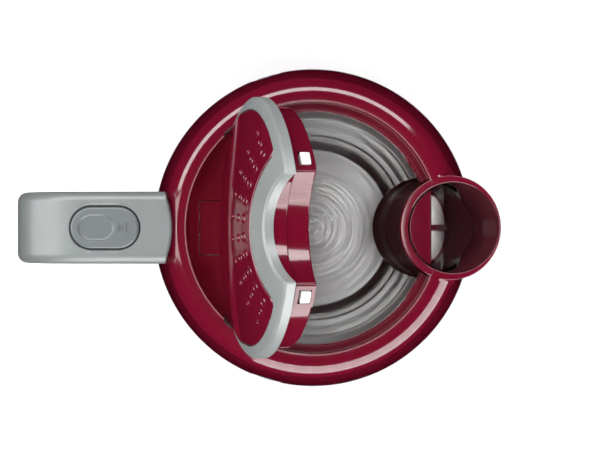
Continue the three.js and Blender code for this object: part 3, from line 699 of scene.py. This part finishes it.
def spout_shelf():
    """The floor of the spout, from the filter's foot out to the wall."""
    room = lofted([(z, x, rx + 0.6, ry + 0.6) for z, x, rx, ry in spline(SPOUT_INSIDE, 24)])
    return common(room, across(eased([(59.6, 177.6, 0.4), (80, 177.6), (80, 180.4), (59.6, 180.4, 0.3)]), -20, 20))


def wall_slot(side, r0, r1, shrink=0.0):
    half = SIDE_WINDOW["half_w"] - shrink
    outline = stadium(0, (SIDE_WINDOW["z1"] - SIDE_WINDOW["z0"]) / 2 - SIDE_WINDOW["half_w"], half)
    middle = (SIDE_WINDOW["z1"] + SIDE_WINDOW["z0"]) / 2
    rings = [[(r, v, middle + u) for u, v in outline] for r in (r0, r1)]
    return shaped(skin(rings), turn_z(side * SIDE_WINDOW["deg"]))


def cover_boss():
    return union(disc(3.3, 26.4, 41, COVER_SCREW_R, 0), box(COVER_SCREW_R, 72.6, -1.5, 1.5, 26.4, 41))


def jug_body():
    shell = union(cut(jug_shell(), spout_room()), spout_divider(), spout_shelf())
    relief = common(cut(disc(56.4, 213, 220, steps=FINE), box(-80, 80, -38, 38, 200, 230)),
                    box(-38.5, -27.5, -60, 60, 200, 230))
    pins = [bar_y(1.85, HINGE_X, HINGE_Z, side * 44 - 4, side * 44 + 4) for side in (1, -1)]
    shelf = turned(eased([(64, 50.6), (74.6, 50.6), (74.6, 52.8), (64, 52.8, 0.6)]))
    bosses = around(cover_boss, 3, 60)
    holes = around(lambda: disc(1.7, 25, 38, COVER_SCREW_R, 0), 3, 60)
    slots = [wall_slot(side, 60, 90) for side in (1, -1)]
    ports = [box(-72, -58, -4, 4, 203, 210), box(-80, -60, 5.6, 10.6, 203.5, 208.9), box(-80, -60, -3, 3, 33, 39)]
    return cut(union(shell, shelf, *bosses), relief, *pins, *slots, *holes, *ports)


def envelope(margin):
    """The solid inside the jug's outer surface of turning, grown by a margin."""
    heights = [JUG_Z] + list(WALL_LINE[8:-1:8, 1])
    side = [(wall_r(z) + margin, z) for z in heights if z < 209]
    reach = FILLET + margin
    fillet = [(FILLET_R + reach * math.cos(a), FILLET_Z + reach * math.sin(a)) for a in np.linspace(0.05, 1.5708, 24)]
    return turned([(0, JUG_Z)] + side + fillet + [(0, FILLET_Z + reach)])


def water_window(side):
    """A clear strip let into the wall, with a raised scale on its outside."""
    strip = common(cut(envelope(-0.25), envelope(-2.3)), wall_slot(side, 60, 90, GAP))
    marks = []
    for number in range(9):
        z = 82 + number * 11
        half = 3.6 if number % 2 == 0 else 2.2
        r = wall_r(z) - 0.9
        marks.append(shaped(box(r, r + 0.95, -half, half, z - 0.3, z + 0.3), turn_z(side * SIDE_WINDOW["deg"])))
    return union(strip, *marks)


def well_room(extra):
    barrel = bar_y(TROUGH_R + extra, HINGE_X, HINGE_Z, -WELL_HALF_Y - extra, WELL_HALF_Y + extra, 160, 1.2)
    return common(barrel, disc(RECESS_R + extra, 180, LEDGE_Z + 20, steps=FINE))


def rim_collar():
    ledge = turned(eased([
        (LEDGE_R, 203.5, 0.6), (LEDGE_R + 2, 203.5, 0.6), (LEDGE_R + 2, LEDGE_Z - 2, 0.6), (60, LEDGE_Z - 2),
        (60, LEDGE_Z), (LEDGE_R, LEDGE_Z, 0.9),
    ]))
    behind = box(-62, HINGE_X - 1.5, -50, 50, 180, LEDGE_Z)
    well = common(well_room(2), behind)
    room = common(well_room(0), box(-62, HINGE_X + 2.2, -50, 50, 180, 230))
    spout = lofted([(200, 59.2, 23, 23.6), (209, 59.6, 22.7, 23.4), (RIM_Z, 60, 22.4, 23.2)])
    cover = box(-50.4, -30, -12.4, 12.4, 180, 208)
    catches = [shaped(box(LEDGE_R - 1, LEDGE_R + 1.2, -3.9, 3.9, 205.2, LEDGE_Z - 2), turn_z(side * WINDOW_DEG))
               for side in (1, -1)]
    return cut(union(ledge, well), room, spout, cover, *catches)


def hinge_cover():
    shell = cut(well_room(2), well_room(0))
    return common(shell, box(-50, HINGE_X - 1.5, -12, 12, 180, 207.6))


def spout_guard():
    stations = [(172, 52.4, 24.7, 23.5), (181, 54.7, 24.1, 23.2), (190, 56.6, 23.6, 23), (198, 58.5, 22.8, 22.9),
                (SPOUT_TUBE_Z - 0.4, 60, 22, 22.8)]
    wall = 1.6
    outer = spline(stations, 40)
    a = np.linspace(0, 2 * math.pi, FINE, endpoint=False)
    foot = [(172 - 0.5 * math.sin(t), 52.4, 24.7 - wall / 2 * (1 - math.cos(t)), 23.5 - wall / 2 * (1 - math.cos(t)))
            for t in np.linspace(math.pi / 2, 0.2, 4)]
    rows = foot + [tuple(row) for row in outer]
    rows += [(z, x, rx - wall, ry - wall) for z, x, rx, ry in rows[::-1]]
    rings = [np.stack([x + rx * np.cos(a), ry * np.sin(a), np.full(FINE, z)], 1) for z, x, rx, ry in rows]
    inside = turned([(0, 165), (69.4, 165), (69.4, 170), (68.2, 180), (66, 190), (63.4, 199), (61.5, 207), (0, 207)])
    return common(skin(rings, wrap=True), inside)


def heating_plate():
    top = eased([
        (0, PLATE_Z), (42.4, PLATE_Z, 2.4), (50, PLATE_Z - 4.8, 2.4), (54, PLATE_Z - 4.8, 2.2),
        (58.4, PLATE_Z + 2, 1.8), (PLATE_R, PLATE_Z + 2),
    ], 8, closed=False)
    return turned(top + [(r, z - 1) for r, z in top[::-1]], 256)


def connector_socket():
    return turned(eased([
        (4, 33, 0.3), (6, 33, 0.3), (6, 37.4, 0.3), (9.8, 37.4, 0.3), (9.8, 33.5, 0.3), (11.6, 33.5, 0.3),
        (11.6, 37.4, 0.3), (14.6, 37.4, 0.3), (14.6, 22.8, 0.6), (17.2, 22.8, 0.6), (17.2, 39.4, 0.4), (4, 39.4, 0.3),
    ]), MEDIUM)


def jug_bottom_cover():
    plate = turned(eased([(17.6, 22.6, 0.5), (70.1, 22.6, 0.6), (70.1, 25, 0.6), (17.6, 25, 0.5)]))
    pads = around(lambda: box(50, 58, -5, 5, BASE_TOP_Z + 0.3, 23, 0.7), 3)
    rings = [turned([(r, 22), (r + 0.9, 22), (r + 0.9, 23), (r, 23)]) for r in (24, 44)]
    holes = around(lambda: disc(1.7, 22, 26, COVER_SCREW_R, 0), 3, 60)
    seats = around(lambda: disc(3.4, 22, 23.9, COVER_SCREW_R, 0), 3, 60)
    return cut(union(plate, *pads), *rings, *holes, *seats)


def cover_screw():
    return cross_screw(3, 22.1, 23.55, 36, COVER_SCREW_R)


def make_jug():
    finished(jug_body(), "jug_body", "red_plastic_body_painted_shade")
    for side, name in ((1, "left"), (-1, "right")):
        finished(water_window(side), f"water_window_{name}")
    # the collar and hinge cover take the red with painted light down in the well
    finished(rim_collar(), "rim_collar", "red_plastic_inside_painted_light")
    finished(hinge_cover(), "hinge_cover", "red_plastic_inside_painted_light")
    # the guard takes the darker red copy: painted shade deep in the spout
    finished(spout_guard(), "spout_guard", "red_plastic_painted_shade")
    finished(heating_plate(), "heating_plate")
    finished(connector_socket(), "connector_socket")
    finished(jug_bottom_cover(), "jug_bottom_cover")
    for number, screw in enumerate(around(cover_screw, 3, 60), 1):
        finished(screw, f"cover_screw_{number}")


# Handle -------------------------------------------------------------------------------------

HANDLE_OUTSIDE = spline([
    (-54, 220.3), (-75, 221.4), (-95, 222), (-112, 220.2), (-124.5, 213.5), (-131.2, 201), (-133.6, 180),
    (-132.9, 150), (-130, 118), (-124.5, 88), (-115, 63), (-102, 46), (-86, 36), (-66, 31)], 156)
HANDLE_INSIDE = spline([
    (-54, 200.5), (-75, 200.8), (-90, 200.6), (-99, 198.5), (-105.8, 192.5), (-109.8, 183), (-111.6, 170),
    (-111.4, 148), (-109, 120), (-104.5, 95), (-97.5, 77), (-88.5, 66.5), (-78, 62), (-62, 60)], 156)
HANDLE_EDGE = 4.4                     # rounding along the handle
HANDLE_WALL = 2.4
HANDLE_SEAM = 0.69                    # where the shells meet, as a share of the way to the grip side
HANDLE_FRONT_X, HANDLE_FRONT_R = -61, 37.9


def handle_shell(start, end, rounded_end, wall_side):
    """A channel-shaped shell along the handle, between two shares of its depth."""
    half, edge = HANDLE_HALF_Y, HANDLE_EDGE
    rings = []
    for outside, inside in zip(HANDLE_OUTSIDE, HANDLE_INSIDE):
        depth = np.linalg.norm(inside - outside)
        into = (inside - outside) / depth
        turn = np.linspace(0, math.pi / 2, 7)
        round_side = [(edge * (1 - math.cos(t)), half - edge * (1 - math.sin(t))) for t in turn]
        outer = [(d, y) for d, y in round_side]
        reach = (end - start) * depth
        lip = [(reach - 0.3, half), (reach, half - 0.3)]
        hollow = [(reach, half - HANDLE_WALL), (wall_side * depth, half - HANDLE_WALL)]
        upper = outer + lip + hollow
        loop = upper + [(d, -y) for d, y in upper[::-1]]
        if rounded_end:
            points = [outside + into * (end * depth - d) for d, _ in loop]
        else:
            points = [outside + into * (start * depth + d) for d, _ in loop]
        rings.append([(p[0], y, p[1]) for p, (_, y) in zip(points, loop)])
    return skin(rings)


def handle_room(shell):
    """Trims a handle shell to the jug's outside and to its own rounded front edge."""
    centre = HANDLE_FRONT_X - HANDLE_FRONT_R
    outline = [(-140, -30)] + arc(centre, 0, HANDLE_FRONT_R, -52, 52, 60) + [(-140, 30)]
    rise = [(0, 0), (0, 219.5), (0.1, 219.95), (0.3, 220.35), (0.7, 220.65), (1.3, 220.85), (1.3, 240)]
    return cut(common(shell, slab(outline, rise)), envelope(GAP))


def handle_outer():
    shell = handle_room(handle_shell(0, HANDLE_SEAM - 0.01, False, 0.13))
    flare = [(0, 209), (0, 220.4), (-0.1, 220.9), (-0.3, 221.3), (-0.65, 221.65), (-1.1, 221.95), (-1.1, 225)]
    button_hole = slab(stadium(BUTTON_X, BUTTON_HALF, BUTTON_R + 0.35), flare)
    lens_hole = disc(2.6, 0, 60, -93, 0)
    lever_hole = across(eased([(-97.9, 54.4, 0.6), (-104.8, 64.8, 0.6), (-124.8, 51.5), (-117.9, 41.1)]), -7.2, 7.2)
    return cut(shell, button_hole, lens_hole, lever_hole)


def handle_inner():
    return handle_room(handle_shell(HANDLE_SEAM + 0.01, 1, True, 0.12))


def arrow_mark():
    """A plain outlined arrowhead and a bar in front of it, standing a little proud of the button."""
    tip, back, half = -81.4, -84.2, 2.1
    top = [(0, 221.5), (0, 222.14), (0.22, 222.4)]
    outer = slab([(back, -half), (tip, 0), (back, half)], top)
    inner = slab([(back + 0.55, -half + 1.1), (tip - 0.95, 0), (back + 0.55, half - 1.1)],
                 [(0, 221), (0, 222.14), (-0.22, 222.4), (-0.22, 223)])
    bar = slab([(tip + 0.6, -half), (tip + 1.15, -half), (tip + 1.15, half), (tip + 0.6, half)], top)
    return [cut(outer, inner), bar]


def lid_button():
    cap = slab(stadium(BUTTON_X, BUTTON_HALF, BUTTON_R, 28), levels(213, 222.1, 0, 1.2, 7))
    hollow = slab(stadium(BUTTON_X, BUTTON_HALF, BUTTON_R - 1.6), levels(212, 219.9))
    dip = slab(stadium(-93.6, 2.2, 5.7, 28), [(1.6, 221.25), (0.9, 221.33), (0.4, 221.5), (0.1, 221.75), (0, 221.95),
                                             (-0.15, 222.05), (-0.4, 222.12), (-0.4, 223)])
    post = across([(-93, 206), (-87, 212), (-87, 220.5), (-93, 220.5)], -3, 3)
    return union(cut(cap, hollow, dip), post, *arrow_mark())


def switch_lever():
    rocker = across(eased([
        (-104, 61.6, 1), (-107, 60.4, 1), (-117.4, 53.6, 3), (-119.8, 49.6, 1.4), (-116.2, 47, 1.2), (-105, 54.4, 2),
        (-101.4, 56.6, 1),
    ]), -6.8, 6.8, 0.9)
    ribs = []
    for share in (0.32, 0.5, 0.68):
        x, z = -107 - 10.4 * share, 60.4 - 6.8 * share
        ribs.append(bar_y(0.55, x - 0.05, z + 0.1, -5, 5, 16, 0.3))
    axle = bar_y(3.4, SWITCH_X, SWITCH_Z, -6.8, 6.8, edge=0.4)
    return union(rocker, axle, bar_y(1.8, SWITCH_X, SWITCH_Z, -9, 9, edge=0.3), *ribs)


def indicator_lens():
    return slab(arc(-93, 0, 2.25, 0, 355, 71), [(1.6, 36.6), (1.0, 36.75), (0.4, 37.1), (0, 37.7), (0, 42)])


def make_handle():
    finished(handle_outer(), "handle_outer")
    finished(handle_inner(), "handle_inner")
    finished(lid_button(), "lid_button")
    finished(switch_lever(), "switch_lever")
    finished(indicator_lens(), "indicator_lens")


# Spout filter -------------------------------------------------------------------------------

FILTER_TOP_X, FILTER_TOP_Z = 50.8, 213.6
FILTER_TIP_X, FILTER_TIP_Z = 60.4, 183
FILTER_HALF_W = 15.6
FILTER_L = math.hypot(FILTER_TIP_X - FILTER_TOP_X, FILTER_TOP_Z - FILTER_TIP_Z)
FILTER_TILT = math.atan2(FILTER_TIP_X - FILTER_TOP_X, FILTER_TOP_Z - FILTER_TIP_Z)
ON_SLOPE = (Matrix.Translation(Vector((FILTER_TOP_X, 0, FILTER_TOP_Z)) * MM) @ Matrix.Rotation(-FILTER_TILT, 4, "Y")
            @ turn_z(90) @ Matrix.Rotation(-math.pi / 2, 4, "X"))
THREAD_PITCH, THREAD_R = 0.62, 0.22


def filter_half(inset, steps=48):
    """The half-round outline of the filter in its own plane: u across, v down the slope."""
    a = np.linspace(math.pi, 0, steps)
    return [((FILTER_HALF_W - inset) * math.cos(t), inset + (FILTER_L - 2 * inset) * math.sin(t)) for t in a]


def filter_frame():
    rim = cut(slab(filter_half(0), levels(-1, 1, 0.4, 0.4)), slab(filter_half(1.1), [(0, -2), (0, 2)]))
    rib = common(slab(filter_half(0.5), [(0, -1), (0, 1)]), box(-1.3, 1.3, -1, 40, -0.9, 0.9, 0.35))
    grid = shaped(union(rim, rib), ON_SLOPE)
    a = np.linspace(0, 360, FINE, endpoint=False)
    plan = slab(arc(SPOUT_X, 0, SPOUT_R - 0.6, a[0], a[-1], FINE), [(0.35, 214.8), (0, 216.2), (0.15, 216.6), (0.5, 216.8)])
    tab = common(plan, box(30, 51.2, -30, 30, 200, 230, 0.5))
    return union(grid, tab, box(49.4, 51.2, -15, 15, 212.4, 215.5, 0.4))


def threads(lines, r, sides=5):
    """Closed threads along lines of points, all in one mesh."""
    verts, faces = [], []
    for line in lines:
        p = np.asarray(line, float)
        along = np.gradient(p, axis=0)
        side = np.cross(along, (0, 0, 1))
        side /= np.linalg.norm(side, axis=1)[:, None]
        up = np.cross(side, along)
        up /= np.linalg.norm(up, axis=1)[:, None]
        start = len(verts)
        for q, s, u in zip(p, side, up):
            for k in range(sides):
                t = 2 * math.pi * k / sides
                verts.append(q + r * (s * math.cos(t) + u * math.sin(t)))
        for i in range(len(p) - 1):
            for k in range(sides):
                a, b, c = start + i * sides, start + (i + 1) * sides, (k + 1) % sides
                faces.append([a + k, a + c, b + c, b + k])
        faces.append(list(range(start, start + sides)))
        last = start + (len(p) - 1) * sides
        faces.append(list(range(last, last + sides)))
    return make(verts, faces)


def filter_mesh(side):
    """Woven threads that fill one half of the frame, each passing over and under the others."""
    inset, rib = 1.25, 1.4
    half_w, length = FILTER_HALF_W - inset, FILTER_L - 2 * inset
    lines = []
    count = int((half_w - rib) / THREAD_PITCH)
    for k in range(count):
        u = rib + (k + 0.5) * THREAD_PITCH
        reach = length * math.sqrt(max(1 - (u / half_w) ** 2, 0))
        v = np.arange(0, reach, THREAD_PITCH / 3)
        wave = 0.12 * np.cos(math.pi * (v / THREAD_PITCH + k))
        if len(v) > 3:
            lines.append(np.stack([np.full(len(v), side * u), v + inset, wave], 1))
    for k in range(int(length / THREAD_PITCH)):
        v = (k + 0.5) * THREAD_PITCH
        reach = half_w * math.sqrt(max(1 - (v / length) ** 2, 0))
        u = np.arange(rib, reach, THREAD_PITCH / 3)
        wave = -0.12 * np.cos(math.pi * ((u - rib) / THREAD_PITCH + k))
        if len(u) > 3:
            lines.append(np.stack([side * u, np.full(len(u), v + inset), wave], 1))
    return shaped(threads(lines, THREAD_R), ON_SLOPE)


def make_filter():
    finished(filter_frame(), "filter_frame", "red_plastic_filter")
    finished(filter_mesh(1), "filter_mesh_left", sharp=80)
    finished(filter_mesh(-1), "filter_mesh_right", sharp=80)


# Lid ----------------------------------------------------------------------------------------
# Drawn closed, then turned open about the hinge.

OPEN = (Matrix.Translation(Vector((HINGE_X, 0, HINGE_Z)) * MM) @ Matrix.Rotation(-LID_OPEN, 4, "Y")
        @ Matrix.Translation(Vector((-HINGE_X, 0, -HINGE_Z)) * MM))
LID_EDGE = 1.3                        # rounding of the lid's rim
DIMPLE_ROWS, DIMPLE_STEP = 10, 9.8    # rows that fan out from the bite, and the degrees between them
DIMPLES = ((6.1, 1.65), (12.0, 1.3), (18.2, 0.95))   # distance from the bite's edge, and radius


def dome(r2):
    return RIM_Z + LID_DOME * (1 - r2 / LID_R ** 2)


def mirrored(upper):
    """A closed plan outline from its half on the +Y side, which starts and ends on the X axis."""
    return upper + [(u, -v) for u, v in upper[-2:0:-1]]


def bite(r, notch_x, notch_r, corner):
    """The start of a bitten disc's outline, up to the disc's edge, and the angle reached there."""
    x = ((r - corner) ** 2 + notch_x ** 2 - (notch_r + corner) ** 2) / (2 * notch_x)
    y = math.sqrt((r - corner) ** 2 - x ** 2)
    on_disc = math.degrees(math.atan2(y, x))
    on_notch = math.degrees(math.atan2(y, x - notch_x))
    hollow = arc(notch_x, 0, notch_r, 180, on_notch, 40)
    return hollow[:-1] + arc(x, y, corner, on_notch - 180, on_disc, 10)[:-1], on_disc


def bitten(r, notch_x, notch_r, corner=0.8):
    start, angle = bite(r, notch_x, notch_r, corner)
    return mirrored(start + arc(0, 0, r, angle, 180, 100))


def panel_outline():
    """Round at the front, with the bite, and widened at the rear up to the lid's own edge."""
    start, angle = bite(PANEL_R, PANEL_NOTCH_X, PANEL_NOTCH_R, 3.2)
    swap_x = (PANEL_REAR_R ** 2 - PANEL_R ** 2 - PANEL_REAR_X ** 2) / (-2 * PANEL_REAR_X)
    swap_y = math.sqrt(PANEL_R ** 2 - swap_x ** 2)
    edge_x = (PANEL_REAR_R ** 2 - LID_R ** 2 - PANEL_REAR_X ** 2) / (-2 * PANEL_REAR_X)
    edge_y = math.sqrt(LID_R ** 2 - edge_x ** 2)
    degrees = lambda y, x: math.degrees(math.atan2(y, x))
    front = arc(0, 0, PANEL_R, angle, degrees(swap_y, swap_x), 40)[:-1]
    rear = arc(PANEL_REAR_X, 0, PANEL_REAR_R, degrees(swap_y, swap_x - PANEL_REAR_X),
               degrees(edge_y, edge_x - PANEL_REAR_X), 40)[:-1]
    return mirrored(start + front + rear + arc(0, 0, LID_R, degrees(edge_y, edge_x), 180, 30))


def distance_to(outline, x, y):
    """How far each point is from a closed outline."""
    a = np.asarray(outline, float)
    b = np.roll(a, -1, 0)
    best = np.full(x.shape, 1e9)
    for (ax, ay), (bx, by) in zip(a, b):
        ux, uy = bx - ax, by - ay
        t = np.clip(((x - ax) * ux + (y - ay) * uy) / (ux * ux + uy * uy + 1e-12), 0, 1)
        best = np.minimum(best, (x - ax - t * ux) ** 2 + (y - ay - t * uy) ** 2)
    return np.sqrt(best)


def domed(outline, edges, spacing, relief=None, thickness=RING_T):
    """A plate with the lid's dome on both faces, trimmed to a plan outline. edges are (outline, rounding)."""
    x = np.arange(-LID_R - 1, LID_R + 1, spacing)
    x, y = np.meshgrid(x, x, indexing="ij")
    top = dome(x * x + y * y)
    low = top - thickness
    if relief:
        top = top + relief(x, y)
    for line, radius in edges:
        near = np.clip(distance_to(line, x, y), 0, radius)
        top = top - (radius - np.sqrt(radius ** 2 - (radius - near) ** 2))
    n, m = x.shape
    verts = np.concatenate([np.stack([x, y, z], 2).reshape(-1, 3) for z in (top, low)])
    i, j = (g.ravel() for g in np.meshgrid(np.arange(n - 1), np.arange(m - 1), indexing="ij"))
    a = i * m + j
    faces = [np.stack([a, a + m, a + m + 1, a + 1], 1), np.stack([a, a + 1, a + m + 1, a + m], 1) + n * m]
    rim = np.concatenate([np.arange(m), np.arange(1, n) * m + m - 1, (n - 1) * m + np.arange(m - 1)[::-1],
                          np.arange(1, n - 1)[::-1] * m])
    after = np.roll(rim, -1)
    faces.append(np.stack([rim, after, after + n * m, rim + n * m], 1))
    block = make(verts, np.concatenate(faces).tolist())
    return common(block, slab(outline, [(0, 195), (0, 245)]))


def dimples(x, y):
    """Small raised rings in rows that fan out from the bite."""
    height = np.zeros_like(x)
    for row in range(DIMPLE_ROWS):
        angle = math.radians((row - (DIMPLE_ROWS - 1) / 2) * DIMPLE_STEP)
        for away, size in DIMPLES:
            reach = PANEL_NOTCH_R + away
            u, v = PANEL_NOTCH_X - reach * math.cos(angle), reach * math.sin(angle)
            q = np.hypot(x - u, y - v)
            height += 0.36 * np.clip(1.3 - np.abs(q - size) / 0.34, 0, 1) ** 1.5
    return height


def hinge_holes():
    return bar_y(1.85, HINGE_X, HINGE_Z, -60, 60)


def lid_panel():
    outline = panel_outline()
    return cut(domed(outline, [(outline, 1.1)], 0.28, dimples), hinge_holes())


def lid_trim_ring():
    outer, inner = bitten(LID_R, RING_NOTCH_X, RING_NOTCH_R), panel_outline()
    plate = domed(outer, [(outer, LID_EDGE), (moved_in(inner, -0.3), 0.5)], 0.45)
    return cut(plate, slab(inner, [(-0.3, 190), (-0.3, 250)]), box(-70, -37, -60, 60, 190, 240), hinge_holes())


def under_dome(drop):
    return turned([(0, 190), (60, 190)] + [(r, dome(r * r) - drop) for r in np.linspace(60, 0, 25)])


def window_box(r0, r1, w, h, side, edge=0.0):
    return shaped(box(r0, r1, -w / 2, w / 2, WINDOW_Z - h / 2, WINDOW_Z + h / 2, edge), turn_z(side * WINDOW_DEG))


def lid_inner():
    skirt = slab(bitten(SKIRT_R, SKIRT_NOTCH_X, SKIRT_NOTCH_R), levels(SKIRT_Z, 213.4, 0.7, 0))
    wall = slab(bitten(52.3, RING_NOTCH_X, RING_NOTCH_R + 0.8), levels(213.3, 230, 0.5, 0))
    room = slab(bitten(SKIRT_R - 2, SKIRT_NOTCH_X, SKIRT_NOTCH_R + 2), [(0, SKIRT_Z + 1.8), (0, 240)])
    proud = levels(0, RIM_Z)
    frames = [common(window_box(SKIRT_R - 1.5, SKIRT_R + 4, WINDOW_W + 3.4, WINDOW_H + 3, side),
                     slab(arc(0, 0, SKIRT_R + 0.6, 0, 359, 360), proud)) for side in (1, -1)]
    bosses = [bar_y(3.2, HINGE_X, HINGE_Z, side * 36 - 3, side * 36 + 3, edge=0.4) for side in (1, -1)]
    windows = [window_box(SKIRT_R - 4, SKIRT_R + 4, WINDOW_W, WINDOW_H, side) for side in (1, -1)]
    shell = common(union(cut(union(skirt, wall, *frames), room), *bosses), under_dome(RING_T + 0.35))
    return cut(shell, hinge_holes(), *windows)


def latch_plate():
    tongues = [shaped(box(38, LEDGE_R + 0.7, -WINDOW_W / 2 + 0.4, WINDOW_W / 2 - 0.9, WINDOW_Z - WINDOW_H / 2 + 0.4,
                          WINDOW_Z + WINDOW_H / 2 - 0.7, 0.4), turn_z(WINDOW_DEG))]
    tongues.append(shaped(tongues[0].copy(), Matrix.Identity(4)))
    tongues[1].data = tongues[0].data.copy()
    bpy.context.scene.collection.objects.link(tongues[1])
    shaped(tongues[1], Matrix.Scale(-1, 4, (0, 1, 0)))
    tongues[1].data.flip_normals()
    arms = [shaped(box(-6, 36, -3, 3, 206.2, 208.4, 0.4), Matrix.Translation((3 * MM, 0, 0)) @ turn_z(side * 38))
            for side in (1, -1)]
    return union(box(-30, 2, -5, 5, 206.2, 208.4, 0.5), *arms, *tongues)


def spring_coil(y0, y1, turns=4):
    steps = turns * 20
    a = np.linspace(0, 2 * math.pi * turns, steps + 1)
    line = np.stack([HINGE_X + 2.25 * np.cos(a), y0 + (y1 - y0) * a / a[-1], HINGE_Z + 2.25 * np.sin(a)], 1)
    rings = []
    for p, t in zip(line, a):
        out = np.array([math.cos(t), 0, math.sin(t)])
        for_ring = [p + 0.4 * (out * math.cos(k) + np.array([0, 1, 0]) * math.sin(k))
                    for k in np.linspace(0, 2 * math.pi, 10, endpoint=False)]
        rings.append(for_ring)
    return skin(rings)


def make_lid():
    for build, node, look in ((lid_trim_ring, "lid_trim_ring", "grey_plastic_lid"), (lid_panel, "lid_panel", None),
                              (lid_inner, "lid_inner", None), (latch_plate, "latch_plate", None)):
        finished(shaped(build(), OPEN), node, look)
    for side, name in ((1, "left"), (-1, "right")):
        y0, y1 = sorted((side * 24, side * 31))
        finished(shaped(spring_coil(y0, y1), OPEN), f"lid_spring_{name}")
        y0, y1 = sorted((side * 23, side * 47.5))
        finished(bar_y(1.5, HINGE_X, HINGE_Z, y0, y1, edge=0.4), f"hinge_pin_{name}")


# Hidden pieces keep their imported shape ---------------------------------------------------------

def dress_hidden_parts():
    for node, obj in frame["nodes"].items():
        if not obj.hide_render:
            obj.data.materials.clear()
            obj.data.materials.append(LOOKS[SLOT_OF[node]])


# Studio -------------------------------------------------------------------------------------

CAMERA_Z = 918                        # 700 above the rim
SOFTBOX_R = 1300


def camera():
    data = bpy.data.cameras.new("camera")
    data.sensor_width = 36
    data.lens = 96.58
    data.shift_x, data.shift_y = -0.021, 0.0045
    obj = bpy.data.objects.new("camera", data)
    obj.location = (0, 0, CAMERA_Z * MM)
    bpy.context.scene.collection.objects.link(obj)
    bpy.context.scene.camera = obj


def area_light(name, place, target, width, height, radiance, shape="RECTANGLE", gloss_only=False):
    data = bpy.data.lights.new(name, "AREA")
    data.shape = shape
    data.size, data.size_y = width * MM, height * MM
    area = data.size * data.size_y * (math.pi / 4 if shape == "DISK" else 1)
    data.energy = radiance * area * math.pi
    obj = bpy.data.objects.new(name, data)
    obj.location = Vector(place) * MM
    direction = Vector(target) - Vector(place)
    obj.rotation_euler = direction.to_track_quat("-Z", "Y").to_euler()
    obj.visible_camera = False
    obj.visible_diffuse = not gloss_only
    obj.visible_glossy = gloss_only
    bpy.context.scene.collection.objects.link(obj)


def softbox(name, from_deg, to_deg, low_deg, high_deg, radiance, count, tiers=1, gloss_only=False):
    """A long soft light bent round the kettle, made of flat panels side by side and in tiers."""
    if tiers > 1:
        for tier in range(tiers):
            low, high = (low_deg + (high_deg - low_deg) * share / tiers for share in (tier, tier + 1))
            softbox(f"{name}_{tier + 1}", from_deg, to_deg, low, high, radiance, count, 1, gloss_only)
        return
    step = (to_deg - from_deg) / count
    rise = math.radians((low_deg + high_deg) / 2)
    for k in range(count):
        turn = math.radians(from_deg + step * (k + 0.5))
        back = Vector((math.cos(turn) * math.cos(rise), math.sin(turn) * math.cos(rise), math.sin(rise)))
        target = Vector((0, 0, 210))
        width = 2 * SOFTBOX_R * math.cos(rise) * math.tan(math.radians(step / 2)) * 1.03
        height = 2 * SOFTBOX_R * math.tan(math.radians((high_deg - low_deg) / 2))
        area_light(f"{name}_{k + 1}", target + back * SOFTBOX_R, target, width, height, radiance, "RECTANGLE", gloss_only)


def studio():
    softbox("strip_left", 46, 164, 32, 52, 11, 15, 2, True)
    softbox("strip_right", -114, -22, -4, 44, 8.0, 12, 3, True)
    softbox("strip_back", 167, 193, 4, 60, 7.0, 2, 2, True)
    area_light("strip_top", (0, 0, 950), (0, 0, 0), 150, 150, 9.5, "DISK", True)
    softbox("fill_left", 40, 164, 24, 60, 3.0, 4)
    softbox("fill_right", -114, -22, 5, 55, 2.9, 3)
    softbox("fill_back", 164, 246, 34, 80, 2.8, 3)
    softbox("fill_low", 0, 360, 1, 20, 1.0, 10)
    world = bpy.data.worlds.new("studio")
    world.use_nodes = True
    world.node_tree.nodes["Background"].inputs["Color"].default_value = (1, 1, 1, 1)
    bpy.context.scene.world = world
    for kind in ("diffuse", "glossy", "transmission", "scatter"):
        setattr(world.cycles_visibility, kind, False)
    bpy.context.scene.view_settings.view_transform = "Standard"


def floor():
    size = 800
    obj = box(-size, size, -size, size, -12, 0)
    obj.name = obj.data.name = "floor"
    obj.data.materials.append(LOOKS["floor"])
    obj.visible_glossy = False


camera()
studio()
floor()
make_base()
make_jug()
make_handle()
make_filter()
make_lid()
dress_hidden_parts()
